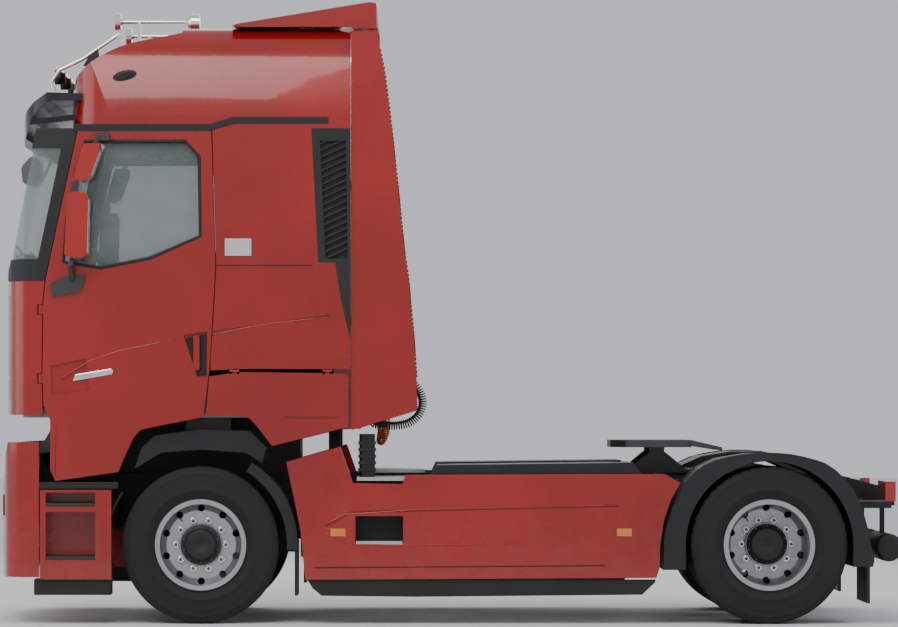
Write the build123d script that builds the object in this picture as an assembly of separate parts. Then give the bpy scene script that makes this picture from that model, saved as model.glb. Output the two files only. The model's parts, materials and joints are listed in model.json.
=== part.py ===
from build123d import *
import math
import os

# A two-axle tractor unit with a tilting sleeper cab. Millimetres, +X forward, +Y left, +Z up,
# origin on the ground under the middle of the bounding box. "Ahead" means ahead of the front axle.

# ---- driving dimensions ----
WHEELBASE = 3800.0
FRONT_REACH = 1410.0
REAR_REACH = 930.0
BODY_HALF = 1250.0
FRONT_AXLE_X = (FRONT_REACH + WHEELBASE + REAR_REACH) / 2 - FRONT_REACH
REAR_AXLE_X = FRONT_AXLE_X - WHEELBASE

RUNNING_GAP = 6.0
SEAT_GAP = 0.3
FRONT_CURVE_R = 6250.0

# ---- tyres, rims, axles ----
TYRE_R = 528.0
TYRE_WIDTH = 314.0
TYRE_SHOULDER = 38.0
BEAD_R = 282.0
RIM_FLANGE_R = 305.0
AXLE_Z = TYRE_R
FRONT_TRACK_HALF = 1043.0
KINGPIN_Y = 925.0
TWIN_OUTER_Y = 1085.0
TWIN_INNER_Y = 740.0
STUD_PCD = 335.0
STUD_COUNT = 10

# ---- ladder frame ----
RAIL_OUTER_Y = 425.0
RAIL_HEIGHT = 270.0
RAIL_TOP_Z = 1000.0
RAIL_FLANGE = 80.0
RAIL_WALL = 9.0
RAIL_FRONT = 1150.0
TAIL_DROP = 100.0
TAIL_SLOPE_LENGTH = 380.0

# ---- fifth wheel ----
COUPLING_TOP_Z = 1225.0
PLATE_THICK = 50.0
KINGPIN_HOLE_R = 25.8
TRUNNION_Z = 1120.0
TRUNNION_R = 30.0

# ---- cab ----
WALL = 55.0
CAB_HALF = BODY_HALF - 6.0
CAB_REAR = -1002.0
CAB_FLOOR_Z = 1380.0
CAB_FLOOR_THICK = 60.0
BELT_Z = 3310.0
ROOF_TOP_Z = 4000.0
HATCH_THICK = 35.0
DOOR_THICK = 70.0
TILT_AHEAD = 1200.0
TILT_Z = 1150.0
TILT_BOSS_R = 36.0
TILT_ARM_Y = (458.0, 532.0)
HINGE_AHEAD = 1068.0


def ahead(distance):
    """X of a point given by its distance ahead of the front axle."""
    return FRONT_AXLE_X + distance


def outline(points):
    """Closed face in the X-Z plane from (ahead, z) points."""
    corners = [(ahead(a), z) for a, z in points]
    return Plane.XZ * make_face(Polyline(*corners, close=True))


def side_plate(points, y_low, y_high, round_r=0.0):
    """Plate of a side outline between two Y planes."""
    face = outline(points)
    if round_r:
        face = fillet(face.vertices(), round_r)
    return Pos(0, y_low, 0) * extrude(face, amount=y_high - y_low, dir=(0, 1, 0))


def block(a_low, a_high, y_low, y_high, z_low, z_high):
    """Box between its limits, X given as distance ahead of the front axle."""
    middle = Pos(ahead((a_low + a_high) / 2), (y_low + y_high) / 2, (z_low + z_high) / 2)
    return middle * Box(a_high - a_low, y_high - y_low, z_high - z_low)


def rod(radius, start, end):
    """Round bar between two (ahead, y, z) points."""
    first = Vector(ahead(start[0]), start[1], start[2])
    last = Vector(ahead(end[0]), end[1], end[2])
    line = last - first
    return Plane(origin=first, z_dir=line) * extrude(Circle(radius), amount=line.length)


def both(part):
    """The piece and its mirror image on the other side."""
    return part + mirror(part, about=Plane.XZ)


def bowed(front_ahead, rear_ahead, half_width, corner_r, z_low, z_high):
    """Body with a gently bowed front in plan, rounded front corners and straight sides."""
    sagitta = half_width ** 2 / (2 * FRONT_CURVE_R)
    path = Polyline(
        (ahead(front_ahead - sagitta), half_width),
        (ahead(rear_ahead), half_width),
        (ahead(rear_ahead), -half_width),
        (ahead(front_ahead - sagitta), -half_width),
    )
    front = ThreePointArc(path @ 1, (ahead(front_ahead), 0), path @ 0)
    face = make_face([path, front])
    if corner_r:
        face = fillet(face.vertices().group_by(Axis.X)[-1], corner_r)
    return Pos(0, 0, z_low) * extrude(face, amount=z_high - z_low)


def ring_slice(axle_x, r_in, r_out, y_low, y_high, angle_low, angle_high):
    """Part of a ring about a wheel axis, angles in degrees from +X towards +Z."""
    a = math.radians(angle_low)
    b = math.radians(angle_high)
    m = (a + b) / 2
    inner = [(axle_x + r_in * math.cos(t), AXLE_Z + r_in * math.sin(t)) for t in (a, m, b)]
    outer = [(axle_x + r_out * math.cos(t), AXLE_Z + r_out * math.sin(t)) for t in (a, m, b)]
    edges = [ThreePointArc(*inner), ThreePointArc(*outer), Line(inner[0], outer[0]), Line(inner[2], outer[2])]
    face = Plane.XZ * make_face(edges)
    return Pos(0, y_low, 0) * extrude(face, amount=y_high - y_low, dir=(0, 1, 0))


def turned(profile, x, y, z):
    """Revolve a (radius, offset) profile about the Y direction through a point."""
    face = make_face(Polyline(*[(r, o) for r, o in profile], close=True))
    return Pos(x, y, z) * (Rot(-90, 0, 0) * revolve(Plane.XZ * face, axis=Axis.Z))


# ---------------------------------------------------------------- wheels
def tyre(x, y):
    """One tyre: bead, sidewall, shoulder and flat tread."""
    half = TYRE_WIDTH / 2
    rows = [
        (BEAD_R, -half * 0.78), (RIM_FLANGE_R + 5, -half * 0.80), (RIM_FLANGE_R + 95, -half),
        (TYRE_R - TYRE_SHOULDER * 1.6, -half * 0.97), (TYRE_R - 6, -half + TYRE_SHOULDER), (TYRE_R, -half * 0.5),
        (TYRE_R, half * 0.5), (TYRE_R - 6, half - TYRE_SHOULDER), (TYRE_R - TYRE_SHOULDER * 1.6, half * 0.97),
        (RIM_FLANGE_R + 95, half), (RIM_FLANGE_R + 5, half * 0.80), (BEAD_R, half * 0.78),
    ]
    return turned(rows, x, y, AXLE_Z)


RIM_WALL = 9.0
DISC_THICK = 14.0
HUB_BORE_R = 141.0
HAND_HOLE_R = 24.0
HAND_HOLE_PCD = 490.0
BARREL_HALF = 118.0


def rim(x, y, side, disc_out):
    """Steel rim: barrel with flanges and a dished disc whose face stands disc_out outboard of its middle."""
    r_in = BEAD_R - SEAT_GAP - RIM_WALL
    r_out = BEAD_R - SEAT_GAP
    lip = TYRE_WIDTH / 2 * 0.80
    face_in = disc_out - DISC_THICK
    rows = [
        (r_out, -lip), (RIM_FLANGE_R, -lip - 6), (RIM_FLANGE_R, -lip - 16), (r_in, -lip - 12),
        (r_in, face_in * 0.25), (238, face_in), (HUB_BORE_R, face_in), (HUB_BORE_R, disc_out),
        (232, disc_out), (r_in, disc_out * 0.25 + 20), (r_in, lip + 12), (RIM_FLANGE_R, lip + 16),
        (RIM_FLANGE_R, lip + 6), (r_out, lip),
    ]
    body = turned([(r, side * o) for r, o in rows], x, y, AXLE_Z)
    step = 360 / STUD_COUNT
    for k in range(STUD_COUNT):
        turn = math.radians(step * (k + 0.5))
        place = Pos(x + HAND_HOLE_PCD / 2 * math.cos(turn), y, AXLE_Z + HAND_HOLE_PCD / 2 * math.sin(turn))
        body -= place * Rot(90, 0, 0) * Cylinder(HAND_HOLE_R, TYRE_WIDTH)
    return body


def hub(x, y_in, y_out, r_in, r_out, side, cap_r, cap_out):
    """Hub drum from its inner to its outer end, with the wheel nuts' flange and a hub cap."""
    rows = [(0, y_in), (r_in, y_in), (r_in, (y_in + y_out) / 2), (r_out, (y_in + y_out) / 2), (r_out, y_out),
            (cap_r, y_out), (cap_r * 0.9, y_out + cap_out), (0, y_out + cap_out)]
    return turned([(r, side * o) for r, o in rows], x, 0, AXLE_Z)


FRONT_DISC_OUT = 60.0
REAR_DISC_OUT = 140.0
NUT_R = 17.0
NUT_OUT = 30.0


def nuts(x, y, side):
    """Ring of wheel nuts standing on a disc face at y."""
    ring = []
    for k in range(STUD_COUNT):
        turn = math.radians(360 / STUD_COUNT * k)
        place = Pos(x + STUD_PCD / 2 * math.cos(turn), y + side * NUT_OUT / 2, AXLE_Z + STUD_PCD / 2 * math.sin(turn))
        ring.append(place * Rot(90, 0, 0) * Cylinder(NUT_R, NUT_OUT))
    return ring


def front_rim(side):
    """Front rim with its hub and nuts as one turning piece."""
    y = side * FRONT_TRACK_HALF
    disc_y = FRONT_TRACK_HALF + FRONT_DISC_OUT
    body = rim(FRONT_AXLE_X, y, side, FRONT_DISC_OUT)
    body += hub(FRONT_AXLE_X, disc_y - 60, disc_y + 22, 130, HUB_BORE_R + 1, side, 105, 48)
    for nut in nuts(FRONT_AXLE_X, side * disc_y, side):
        body += nut
    return body


def rear_rims(side):
    """Twin rims back to back on one hub; the outer disc is dished inwards."""
    outer = rim(REAR_AXLE_X, side * TWIN_OUTER_Y, -side, REAR_DISC_OUT)
    inner = rim(REAR_AXLE_X, side * TWIN_INNER_Y, side, REAR_DISC_OUT)
    face_y = TWIN_OUTER_Y - REAR_DISC_OUT
    body = outer + inner
    body += turned([(HUB_BORE_R - 1, side * (TWIN_INNER_Y + REAR_DISC_OUT - DISC_THICK)),
                    (HUB_BORE_R + 40, side * (TWIN_INNER_Y + REAR_DISC_OUT - DISC_THICK)),
                    (HUB_BORE_R + 40, side * (face_y + DISC_THICK)), (HUB_BORE_R - 1, side * (face_y + DISC_THICK))],
                   REAR_AXLE_X, 0, AXLE_Z)
    body += hub(REAR_AXLE_X, face_y - 110, face_y + 60, 130, HUB_BORE_R + 1, side, 112, 70)
    for nut in nuts(REAR_AXLE_X, side * (face_y + DISC_THICK), side):
        body += nut
    return body


# ---------------------------------------------------------------- chassis
CROSSMEMBERS = (1090.0, 760.0, -780.0, -1500.0, -2450.0, -4250.0)


def c_rail():
    """Left C-section rail with a tail that drops towards its end."""
    tail = REAR_AXLE_X - FRONT_AXLE_X - REAR_REACH + 60
    slope_start = tail + TAIL_SLOPE_LENGTH
    low = RAIL_TOP_Z - RAIL_HEIGHT
    points = [(RAIL_FRONT, low + 40), (RAIL_FRONT, RAIL_TOP_Z - 40), (RAIL_FRONT - 80, RAIL_TOP_Z),
              (slope_start, RAIL_TOP_Z), (tail, RAIL_TOP_Z - TAIL_DROP), (tail, low + 60),
              (slope_start, low), (RAIL_FRONT - 80, low)]
    body = side_plate(points, RAIL_OUTER_Y - RAIL_FLANGE, RAIL_OUTER_Y)
    web = RAIL_WALL
    inner = [(RAIL_FRONT + 5, low + 60), (RAIL_FRONT + 5, RAIL_TOP_Z - 60), (RAIL_FRONT - 85, RAIL_TOP_Z - web),
             (slope_start + 2, RAIL_TOP_Z - web), (tail - 5, RAIL_TOP_Z - TAIL_DROP - web - 1),
             (tail - 5, low + 60 + web + 1), (slope_start + 2, low + web), (RAIL_FRONT - 85, low + web)]
    return body - side_plate(inner, RAIL_OUTER_Y - RAIL_FLANGE - 5, RAIL_OUTER_Y - web)


def frame():
    """Two rails joined by crossmembers and the tail beam."""
    body = both(c_rail())
    reach = RAIL_OUTER_Y - RAIL_WALL + 1
    for place in CROSSMEMBERS:
        body += block(place - 60, place + 60, -reach, reach, RAIL_TOP_Z - 200, RAIL_TOP_Z - 70)
    end = -WHEELBASE - REAR_REACH
    body += block(end, end + 75, -RAIL_OUTER_Y, RAIL_OUTER_Y, RAIL_TOP_Z - 225, RAIL_TOP_Z - TAIL_DROP - 2)
    arm = block(end + 90, end + 300, RAIL_OUTER_Y - 2, 1010, 770, 815)
    return body + both(arm)


GEARBOX_REACH = 1420.0
SHAFT_FRONT_Z = 640.0
JOINT_R = 62.0


def engine():
    """Engine on its sump with the bell housing and gearbox behind it, between the rails."""
    body = block(-640, 640, -320, 320, 620, 1480) + block(-600, -110, -210, 210, 450, 621)
    bell = Pos(ahead(-719), 0, 600) * Rot(0, -90, 0) * Cone(195, 170, 160)
    gearbox = block(-GEARBOX_REACH, -760, -175, 175, 520, 790)
    gearbox = chamfer(gearbox.edges().filter_by(Axis.X), 45)
    body += bell + gearbox + rod(90, (-GEARBOX_REACH, 0, SHAFT_FRONT_Z), (-GEARBOX_REACH + 60, 0, SHAFT_FRONT_Z))
    for place in (-450, 350):
        body += both(block(place - 40, place + 40, 319, RAIL_OUTER_Y - 20,
                           RAIL_TOP_Z - RAIL_HEIGHT + RAIL_WALL + SEAT_GAP, 800))
    return body


BUMPER_TOP_Z = 1215.0
BUMPER_LOW_Z = 315.0
BUMPER_REAR = 1075.0
BUMPER_WALL = 60.0
LAMP_Z = (720.0, 860.0)
LAMP_Y = (640.0, 1080.0)


def bumper_profile(inset):
    """Region ahead of the bumper's side profile, which leans back above the lamps."""
    front = FRONT_REACH - inset
    return [(1700, 290), (1700, 1230), (front - 122, 1230), (front - 104, 1150), (front - 84, 1060),
            (front - 70, 965), (front - 9, 835), (front, 760), (front, 365), (front - 38, 330), (front - 38, 290)]


def bumper():
    """Bowed bumper shell, open at the back, with its lamp recesses and a slatted air inlet."""
    span = BODY_HALF + 20
    shell = bowed(FRONT_REACH, BUMPER_REAR, BODY_HALF, 170, BUMPER_LOW_Z, BUMPER_TOP_Z)
    shell -= side_plate(bumper_profile(0), -span, span)
    hollow = bowed(FRONT_REACH - BUMPER_WALL - 20, BUMPER_REAR - 50, BODY_HALF - BUMPER_WALL, 130,
                   BUMPER_LOW_Z - 5, BUMPER_TOP_Z + 5)
    hollow -= side_plate(bumper_profile(BUMPER_WALL), -span, span)
    lamp = block(1000, 1500, LAMP_Y[0], LAMP_Y[1], LAMP_Z[0], LAMP_Z[1])
    mouth = block(1200, 1500, -500, 500, 430, 640)
    beam = block(1150.3, 1178, -1000, 1000, 690, 812)
    horns_of_beam = block(1177, FRONT_REACH - BUMPER_WALL, 560, 620, 700, 812)
    brackets = block(1080, 1178, RAIL_OUTER_Y + SEAT_GAP, RAIL_OUTER_Y + 70, 735, 812)
    body = shell - hollow - both(lamp) - mouth
    return body + beam + both(horns_of_beam + brackets)


def lamps():
    """Headlamps in the bumper, amber side markers and tail lamps."""
    insert = bowed(FRONT_REACH - 28, FRONT_REACH - 450, BODY_HALF - 28, 150, LAMP_Z[0] + SEAT_GAP, LAMP_Z[1] - SEAT_GAP)
    insert -= side_plate(bumper_profile(28), -BODY_HALF, BODY_HALF)
    front = insert & block(1180, 1500, LAMP_Y[0] + SEAT_GAP, LAMP_Y[1] - SEAT_GAP, 600, 900)
    end = -WHEELBASE - REAR_REACH
    tail = block(end + 60, end + 130, 560, 1000, 815 + SEAT_GAP, 950)
    body = both(front) + both(tail)
    for place in MARKERS:
        spot = block(place - 50, place + 50, BODY_HALF - SKIRT_WALL, BODY_HALF + 6, 588, 640)
        body += both(spot)
    return body


MARKERS = (-920.0, -2830.0)
SKIRT_WALL = 40.0
SKIRT_TOP_Z = 975.0
SKIRT_LOW_Z = 298.0


def cab_steps():
    """Step boxes ahead of the front wheels: open wells with two treads, posts and back plates."""
    body = block(592, 1068, 960, BODY_HALF, 300, 897)
    body -= block(700, 1030, 1020, BODY_HALF + 5, 430, 750)
    body -= block(700, 1030, 1020, BODY_HALF + 5, 785, 880)
    body -= block(590, 640, 955, 1172, 290, 900)
    under = block(600, 1110, 1010, BODY_HALF - 25, 195, 300 - SEAT_GAP)
    bracket = block(760, 900, RAIL_OUTER_Y + SEAT_GAP, 960.5, 740, 800)
    return both(body + bracket), both(under)


MUDGUARD_IN_R = 624.0


def front_mudguards():
    """Chassis-side mudguard quarters behind and ahead of each front wheel, with a rear flap."""
    rear = ring_slice(FRONT_AXLE_X, MUDGUARD_IN_R, MUDGUARD_IN_R + 26, 880, 1215, 122, 183)
    rear += ring_slice(FRONT_AXLE_X, MUDGUARD_IN_R - 45, MUDGUARD_IN_R + 26, 1185, 1215, 122, 183)
    flap = block(-650, -630, 880, 1200, 190, 505)
    fore = ring_slice(FRONT_AXLE_X, MUDGUARD_IN_R, MUDGUARD_IN_R + 14, 880, 1165, -15, 34)
    stay_rear = block(-604, -582, RAIL_OUTER_Y + SEAT_GAP, 881, 745, 785)
    stay_fore = block(572, 592, RAIL_OUTER_Y + SEAT_GAP, 881, 745, 785)
    return both(rear + flap + stay_rear) + both(fore + stay_fore)


def front_axle():
    """Dropped beam axle with fork eyes at the kingpins, on leaf springs hung from the rails."""
    body = block(-55, 55, -620, 620, 425, 515)
    arm = Pos(FRONT_AXLE_X, 0, 0) * extrude(
        Plane.YZ * make_face(Polyline((600, 425), (700, 470), (KINGPIN_Y - 62, 470), (KINGPIN_Y - 62, 585),
                                      (700, 585), (600, 515), close=True)), amount=55, both=True)
    eye = Pos(FRONT_AXLE_X, KINGPIN_Y, AXLE_Z) * (Cylinder(48, 115) - Cylinder(22.0, 120))
    link = block(-40, 40, KINGPIN_Y - 64, KINGPIN_Y - 30, 475, 580)
    body += both(arm + eye + link - Pos(FRONT_AXLE_X, KINGPIN_Y, AXLE_Z) * Cylinder(22.0, 120))
    leaf = [(-780, 640), (-760, 650), (-250, 560), (250, 560), (760, 650), (780, 640), (250, 515), (-250, 515)]
    spring = side_plate(leaf, 345, 425)
    hanger = side_plate([(700, 645), (800, 620), (800, 730), (700, 730)], 345, 424) \
        + side_plate([(-800, 620), (-700, 645), (-700, 730), (-800, 730)], 345, 424)
    body += both(spring + hanger)
    return body


def rear_axle():
    """Drive axle housing with its differential, propeller shaft, arms and air bellows."""
    inner_hub = TWIN_OUTER_Y - REAR_DISC_OUT - 110
    tube = Pos(REAR_AXLE_X, 0, AXLE_Z) * Rot(90, 0, 0) * Cylinder(75, 2 * (inner_hub - SEAT_GAP))
    pot = Pos(REAR_AXLE_X, 0, AXLE_Z) * Sphere(215)
    nose = rod(95, (-WHEELBASE, 0, AXLE_Z), (-WHEELBASE + 420, 0, AXLE_Z + 20))
    front_joint = -GEARBOX_REACH - JOINT_R - SEAT_GAP
    shaft = rod(48, (-WHEELBASE + 415, 0, AXLE_Z + 20), (front_joint, 0, SHAFT_FRONT_Z))
    body = tube + pot + nose + shaft + Pos(ahead(front_joint), 0, SHAFT_FRONT_Z) * Sphere(JOINT_R)
    beam = side_plate([(-WHEELBASE - 560, 470), (-WHEELBASE + 620, 560), (-WHEELBASE + 620, 620),
                       (-WHEELBASE, 610), (-WHEELBASE - 560, 545)], 350, 430)
    hanger = side_plate([(-WHEELBASE + 560, 540), (-WHEELBASE + 660, 540), (-WHEELBASE + 660, 730),
                         (-WHEELBASE + 520, 730)], 345, 425)
    body += both(beam + hanger)
    for place in (-WHEELBASE - 470, -WHEELBASE + 380):
        bellow = Pos(ahead(place), 385, 635) * Cylinder(95, 190)
        body += both(bellow)
    return body


TANK_LOW_Z = 330.0
TANK_TOP_Z = 930.0


def fuel_tank():
    """Rounded aluminium tank behind the left skirt on brackets from the rail."""
    section = fillet(Rectangle(600, TANK_TOP_Z - TANK_LOW_Z).vertices(), 90)
    face = Plane.YZ * (Pos(860, (TANK_LOW_Z + TANK_TOP_Z) / 2) * section)
    body = Pos(ahead(-2850), 0, 0) * extrude(face, amount=1250)
    for place in (-2600, -1850):
        body += block(place - 40, place + 40, RAIL_OUTER_Y + SEAT_GAP, 575, 760, 860)
    return body


def exhaust_box():
    """Silencer and treatment box behind the right skirt with its outlet and rail brackets."""
    body = block(-2700, -1500, -1150, -560, 360, 900)
    body = chamfer(body.edges().filter_by(Axis.X), 60)
    for place in (-2500, -1700):
        body += block(place - 40, place + 40, -575, -RAIL_OUTER_Y - SEAT_GAP, 760, 860)
    body += rod(60, (-2600, -700, 365), (-2600, -700, 300))
    return body


SKIRT_OUTLINE = (
    # ahead, z
    (-575, 1083), (-935, 1186), (-1022, 943), (-1349, 937), (-1369, 997), (-3035, 1005), (-3102, 1003),
    (-3205, 943), (-3140, 830), (-3095, 697), (-3069, 530), (-3063, 363), (-3043, 310), (-702, 298),
    (-689, 430), (-669, 630), (-622, 863),
)
STEP_WINDOW = ((-1035, 723), (-1355, 723), (-1355, 530), (-1035, 530))


def side_skirts():
    """Left and right skirts, a thin outer wall with a lengthwise crease and a step well."""
    plate = side_plate(SKIRT_OUTLINE, BODY_HALF - SKIRT_WALL, BODY_HALF)
    plate -= side_plate(STEP_WINDOW, BODY_HALF - SKIRT_WALL - 5, BODY_HALF + 5)
    groove = [(-830, 655), (-1003, 757), (-2790, 797), (-2790, 785), (-1010, 742), (-850, 650)]
    plate -= side_plate(groove, BODY_HALF - 12, BODY_HALF + 5)
    bevel = Pos(ahead(-2200), BODY_HALF + 22, 1003) * Rot(45, 0, 0) * Box(1640, 60, 60)
    plate -= bevel
    for place in MARKERS:
        plate -= block(place - 50 - SEAT_GAP, place + 50 + SEAT_GAP, BODY_HALF - 60, BODY_HALF + 5,
                       588 - SEAT_GAP, 640 + SEAT_GAP)
    well = block(-1365, -1025, 1060, BODY_HALF - SKIRT_WALL + 1, 500, 750)
    well -= block(-1355, -1035, 1080, BODY_HALF, 530, 723)
    plate += well
    for place in (-1400, -2950):
        plate += block(place - 25, place + 25, 1160, BODY_HALF - SKIRT_WALL + 1, 870, 930)
        plate += block(place - 25, place + 25, RAIL_OUTER_Y + SEAT_GAP, 1161, 932, 957) \
            + block(place - 25, place + 25, 1130, 1161, 871, 957)
    return both(plate)


def lower_skirts(under_steps):
    """Black valances under the skirts and under the step boxes."""
    band = side_plate([(-715, 298 - SEAT_GAP), (-750, 240), (-810, 190), (-1440, 183), (-2950, 197),
                       (-3035, 277), (-3043, 310 - 12 - SEAT_GAP)], 1180, BODY_HALF - 22)
    return both(band) + under_steps


TREAD_THICK = 25.0


def tread_plates():
    """Chequered walkway plates behind the cab, the step treads and the catwalk over the frame."""
    step = block(-1350, -1040, 1085, BODY_HALF - 4, 530 + SEAT_GAP, 530 + SEAT_GAP + TREAD_THICK)
    upper = block(700.5, 1029.5, 1025, BODY_HALF - 4, 785.3, 785 + TREAD_THICK)
    lower = block(700.5, 1029.5, 1025, BODY_HALF - 4, 430.3, 430 + TREAD_THICK)
    walk = block(-1500, -1040, -400, 400, RAIL_TOP_Z + SEAT_GAP, RAIL_TOP_Z + TREAD_THICK)
    side = block(-1420, -1045, 560, 1205, 957 + SEAT_GAP, 957 + TREAD_THICK)
    return both(step) + both(upper) + both(lower) + walk + both(side)


def deck_cover():
    """Long moulded cover over the tanks on each side, and its cross panel over the frame."""
    side = side_plate([(-1540, 975), (-1580, 1062), (-2890, 1078), (-2945, 1010), (-2945, 990), (-1540, 960.5)],
                      RAIL_OUTER_Y + 30, 1205)
    side -= block(-2890, -1600, RAIL_OUTER_Y + 60, 1175, 950, 1035)
    foot = block(-2000, -1940, RAIL_OUTER_Y + SEAT_GAP, RAIL_OUTER_Y + 62, 940, 1000)
    return both(side + foot)


# ---------------------------------------------------------------- fifth wheel
COUPLING_AHEAD = -WHEELBASE + 700.0
BASE_PLATE_TOP = RAIL_TOP_Z + 22.0


def fifth_wheel_base():
    """Mounting plate on the rails with a pedestal and pin each side."""
    body = block(COUPLING_AHEAD - 340, COUPLING_AHEAD + 340, -452, 452, RAIL_TOP_Z + SEAT_GAP, BASE_PLATE_TOP)
    body -= block(COUPLING_AHEAD - 180, COUPLING_AHEAD + 180, -240, 240, RAIL_TOP_Z - 5, BASE_PLATE_TOP + 5)
    side = [(COUPLING_AHEAD - 200, BASE_PLATE_TOP - 1), (COUPLING_AHEAD + 200, BASE_PLATE_TOP - 1),
            (COUPLING_AHEAD + 62, TRUNNION_Z + 15), (COUPLING_AHEAD + 30, TRUNNION_Z + 38),
            (COUPLING_AHEAD - 30, TRUNNION_Z + 38), (COUPLING_AHEAD - 62, TRUNNION_Z + 15)]
    cheek = side_plate(side, 300, 325) + side_plate(side, 400, 425)
    cheek += rod(TRUNNION_R - 0.1, (COUPLING_AHEAD, 310, TRUNNION_Z), (COUPLING_AHEAD, 420, TRUNNION_Z))
    return body + both(cheek)


THROAT_HALF = 30.0
MOUTH_HALF = 300.0


def fifth_wheel_plate():
    """Top plate with a mouth that narrows to the kingpin's throat, ribs below and drooping ramps."""
    c = COUPLING_AHEAD
    z_top = COUPLING_TOP_Z
    plan = [(c + 316, 250), (c + 220, 430), (c - 200, 430), (c - 235, 400), (c - 235, -400), (c - 200, -430),
            (c + 220, -430), (c + 316, -250)]
    top = extrude(make_face(Polyline(*[(ahead(a), y) for a, y in plan], close=True)), amount=PLATE_THICK)
    body = Pos(0, 0, z_top - PLATE_THICK) * top
    ramp = side_plate([(c - 234, z_top), (c - 447, z_top - 50), (c - 447, z_top - 74), (c - 234, z_top - 40)], 90, 400)
    body += both(ramp)
    slot = Pos(0, 0, z_top - 100) * extrude(make_face(Polyline(
        (ahead(c), KINGPIN_HOLE_R), (ahead(c - 120), 34), (ahead(c - 460), MOUTH_HALF - 60),
        (ahead(c - 460), -MOUTH_HALF + 60), (ahead(c - 120), -34), (ahead(c), -KINGPIN_HOLE_R), close=True)), amount=150)
    body -= slot
    body -= Pos(ahead(c), 0, z_top) * Cylinder(KINGPIN_HOLE_R, 220)
    jaw = Pos(ahead(c), 0, z_top - PLATE_THICK / 2) * (Cylinder(75, 40) - Cylinder(KINGPIN_HOLE_R, 50))
    jaw -= block(c - 100, c - 8, -KINGPIN_HOLE_R, KINGPIN_HOLE_R, z_top - 80, z_top + 10)
    body += jaw & block(c - 70, c + 80, -80, 80, z_top - PLATE_THICK + 2, z_top - 6)
    lug = side_plate([(c + 50, z_top - PLATE_THICK + 1), (c - 50, z_top - PLATE_THICK + 1),
                      (c - 44, TRUNNION_Z - 30), (c - 20, TRUNNION_Z - 48), (c + 20, TRUNNION_Z - 48),
                      (c + 44, TRUNNION_Z - 30)], 331, 394)
    hole = Pos(ahead(c), 0, TRUNNION_Z) * Rot(90, 0, 0) * Cylinder(TRUNNION_R, 2000)
    lug_pair = both(lug) - hole
    return body + lug_pair


REAR_GUARD = (
    # distance ahead of the rear axle, z: outer edge from the front foot over the crest to the rear foot
    (709, 363), (703, 563), (663, 730), (563, 943), (465, 1043), (331, 1103), (118, 1137), (-102, 1137),
    (-269, 1103), (-402, 1057), (-535, 930), (-615, 763), (-669, 563), (-700, 430), (-689, 383), (-500, 383),
    (0, 500), (550, 363),
)
REAR_GUARD_HOLLOW = ((540, 700), (440, 880), (240, 1085), (-240, 1080), (-430, 940), (-530, 700))
REAR_GUARD_IN_R = 560.0


def rear_mudguards():
    """Three-part style arches over the rear wheels with a stay to the rail and a hanging flap."""
    body = side_plate([(a - WHEELBASE, z) for a, z in REAR_GUARD], 585, CAB_HALF + 2)
    arch = Pos(REAR_AXLE_X, 900, AXLE_Z) * Rot(90, 0, 0) * Cylinder(REAR_GUARD_IN_R, 900)
    body -= arch
    body -= block(-WHEELBASE - REAR_GUARD_IN_R + 1, -WHEELBASE + REAR_GUARD_IN_R - 1, 500, 1300, 300, AXLE_Z)
    hollow = side_plate([(a - WHEELBASE, z) for a, z in REAR_GUARD_HOLLOW], 590, CAB_HALF - 49)
    body -= hollow & (Pos(REAR_AXLE_X, 900, AXLE_Z) * Rot(90, 0, 0) * Cylinder(620, 900))
    flap = block(-WHEELBASE - 670, -WHEELBASE - 650, 600, CAB_HALF - 4, 140, 384)
    stay = block(-WHEELBASE + 380, -WHEELBASE + 440, RAIL_OUTER_Y + SEAT_GAP, 590, 880, 930)
    stay += block(-WHEELBASE - 500, -WHEELBASE - 440, RAIL_OUTER_Y + SEAT_GAP, 590, 880, 930)
    return both(body + flap + stay)


def air_tanks():
    """Transverse air reservoirs under the tail with their straps to the tail beam."""
    end = -WHEELBASE - REAR_REACH
    place = end + 100
    body = Pos(ahead(place), 580, 502) * Rot(90, 0, 0) * Cylinder(94, 780)
    body = fillet(body.edges().filter_by(GeomType.CIRCLE), 30)
    strap = block(place - 5, place + 25, 600, 640, 590, 770 - SEAT_GAP)
    return both(body + strap)


def intake_pipe():
    """Air intake column and pipes that stand on the walkway behind the cab."""
    body = block(-1165, -1060, 985, 1145, 957 + TREAD_THICK + SEAT_GAP, 1270)
    body = fillet(body.edges().filter_by(Axis.Z), 30)
    for k in range(5):
        body += block(-1172, -1053, 978, 1152, 1020 + 45 * k, 1040 + 45 * k)
    return body


def cab_mounts():
    """Front pivot brackets with their pins on the rails, and rear rest posts under the cab."""
    side = [(RAIL_FRONT - 30, RAIL_TOP_Z - 180), (TILT_AHEAD + 42, TILT_Z - 120), (TILT_AHEAD + 40, TILT_Z + 20),
            (TILT_AHEAD, TILT_Z + 42), (TILT_AHEAD - 42, TILT_Z + 20), (RAIL_FRONT - 120, RAIL_TOP_Z - 60)]
    cheek = side_plate(side, RAIL_OUTER_Y + SEAT_GAP, 450) + side_plate(side, 540, 560)
    cheek += block(RAIL_FRONT - 60, RAIL_FRONT + 20, 449, 541, RAIL_TOP_Z - 160, RAIL_TOP_Z - 90)
    cheek += rod(22 - 0.1, (TILT_AHEAD, 445, TILT_Z), (TILT_AHEAD, 545, TILT_Z))
    post = block(-920, -840, 345, 425, RAIL_TOP_Z + SEAT_GAP, 1330) + block(-925, -835, 345, 505, 1306, 1331)
    post += Pos(ahead(-880), 462, 1352) * Cylinder(40, 44)
    tie = block(-900, -860, -346, 346, 1100, 1160)
    return both(cheek) + both(post) + tie


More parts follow.
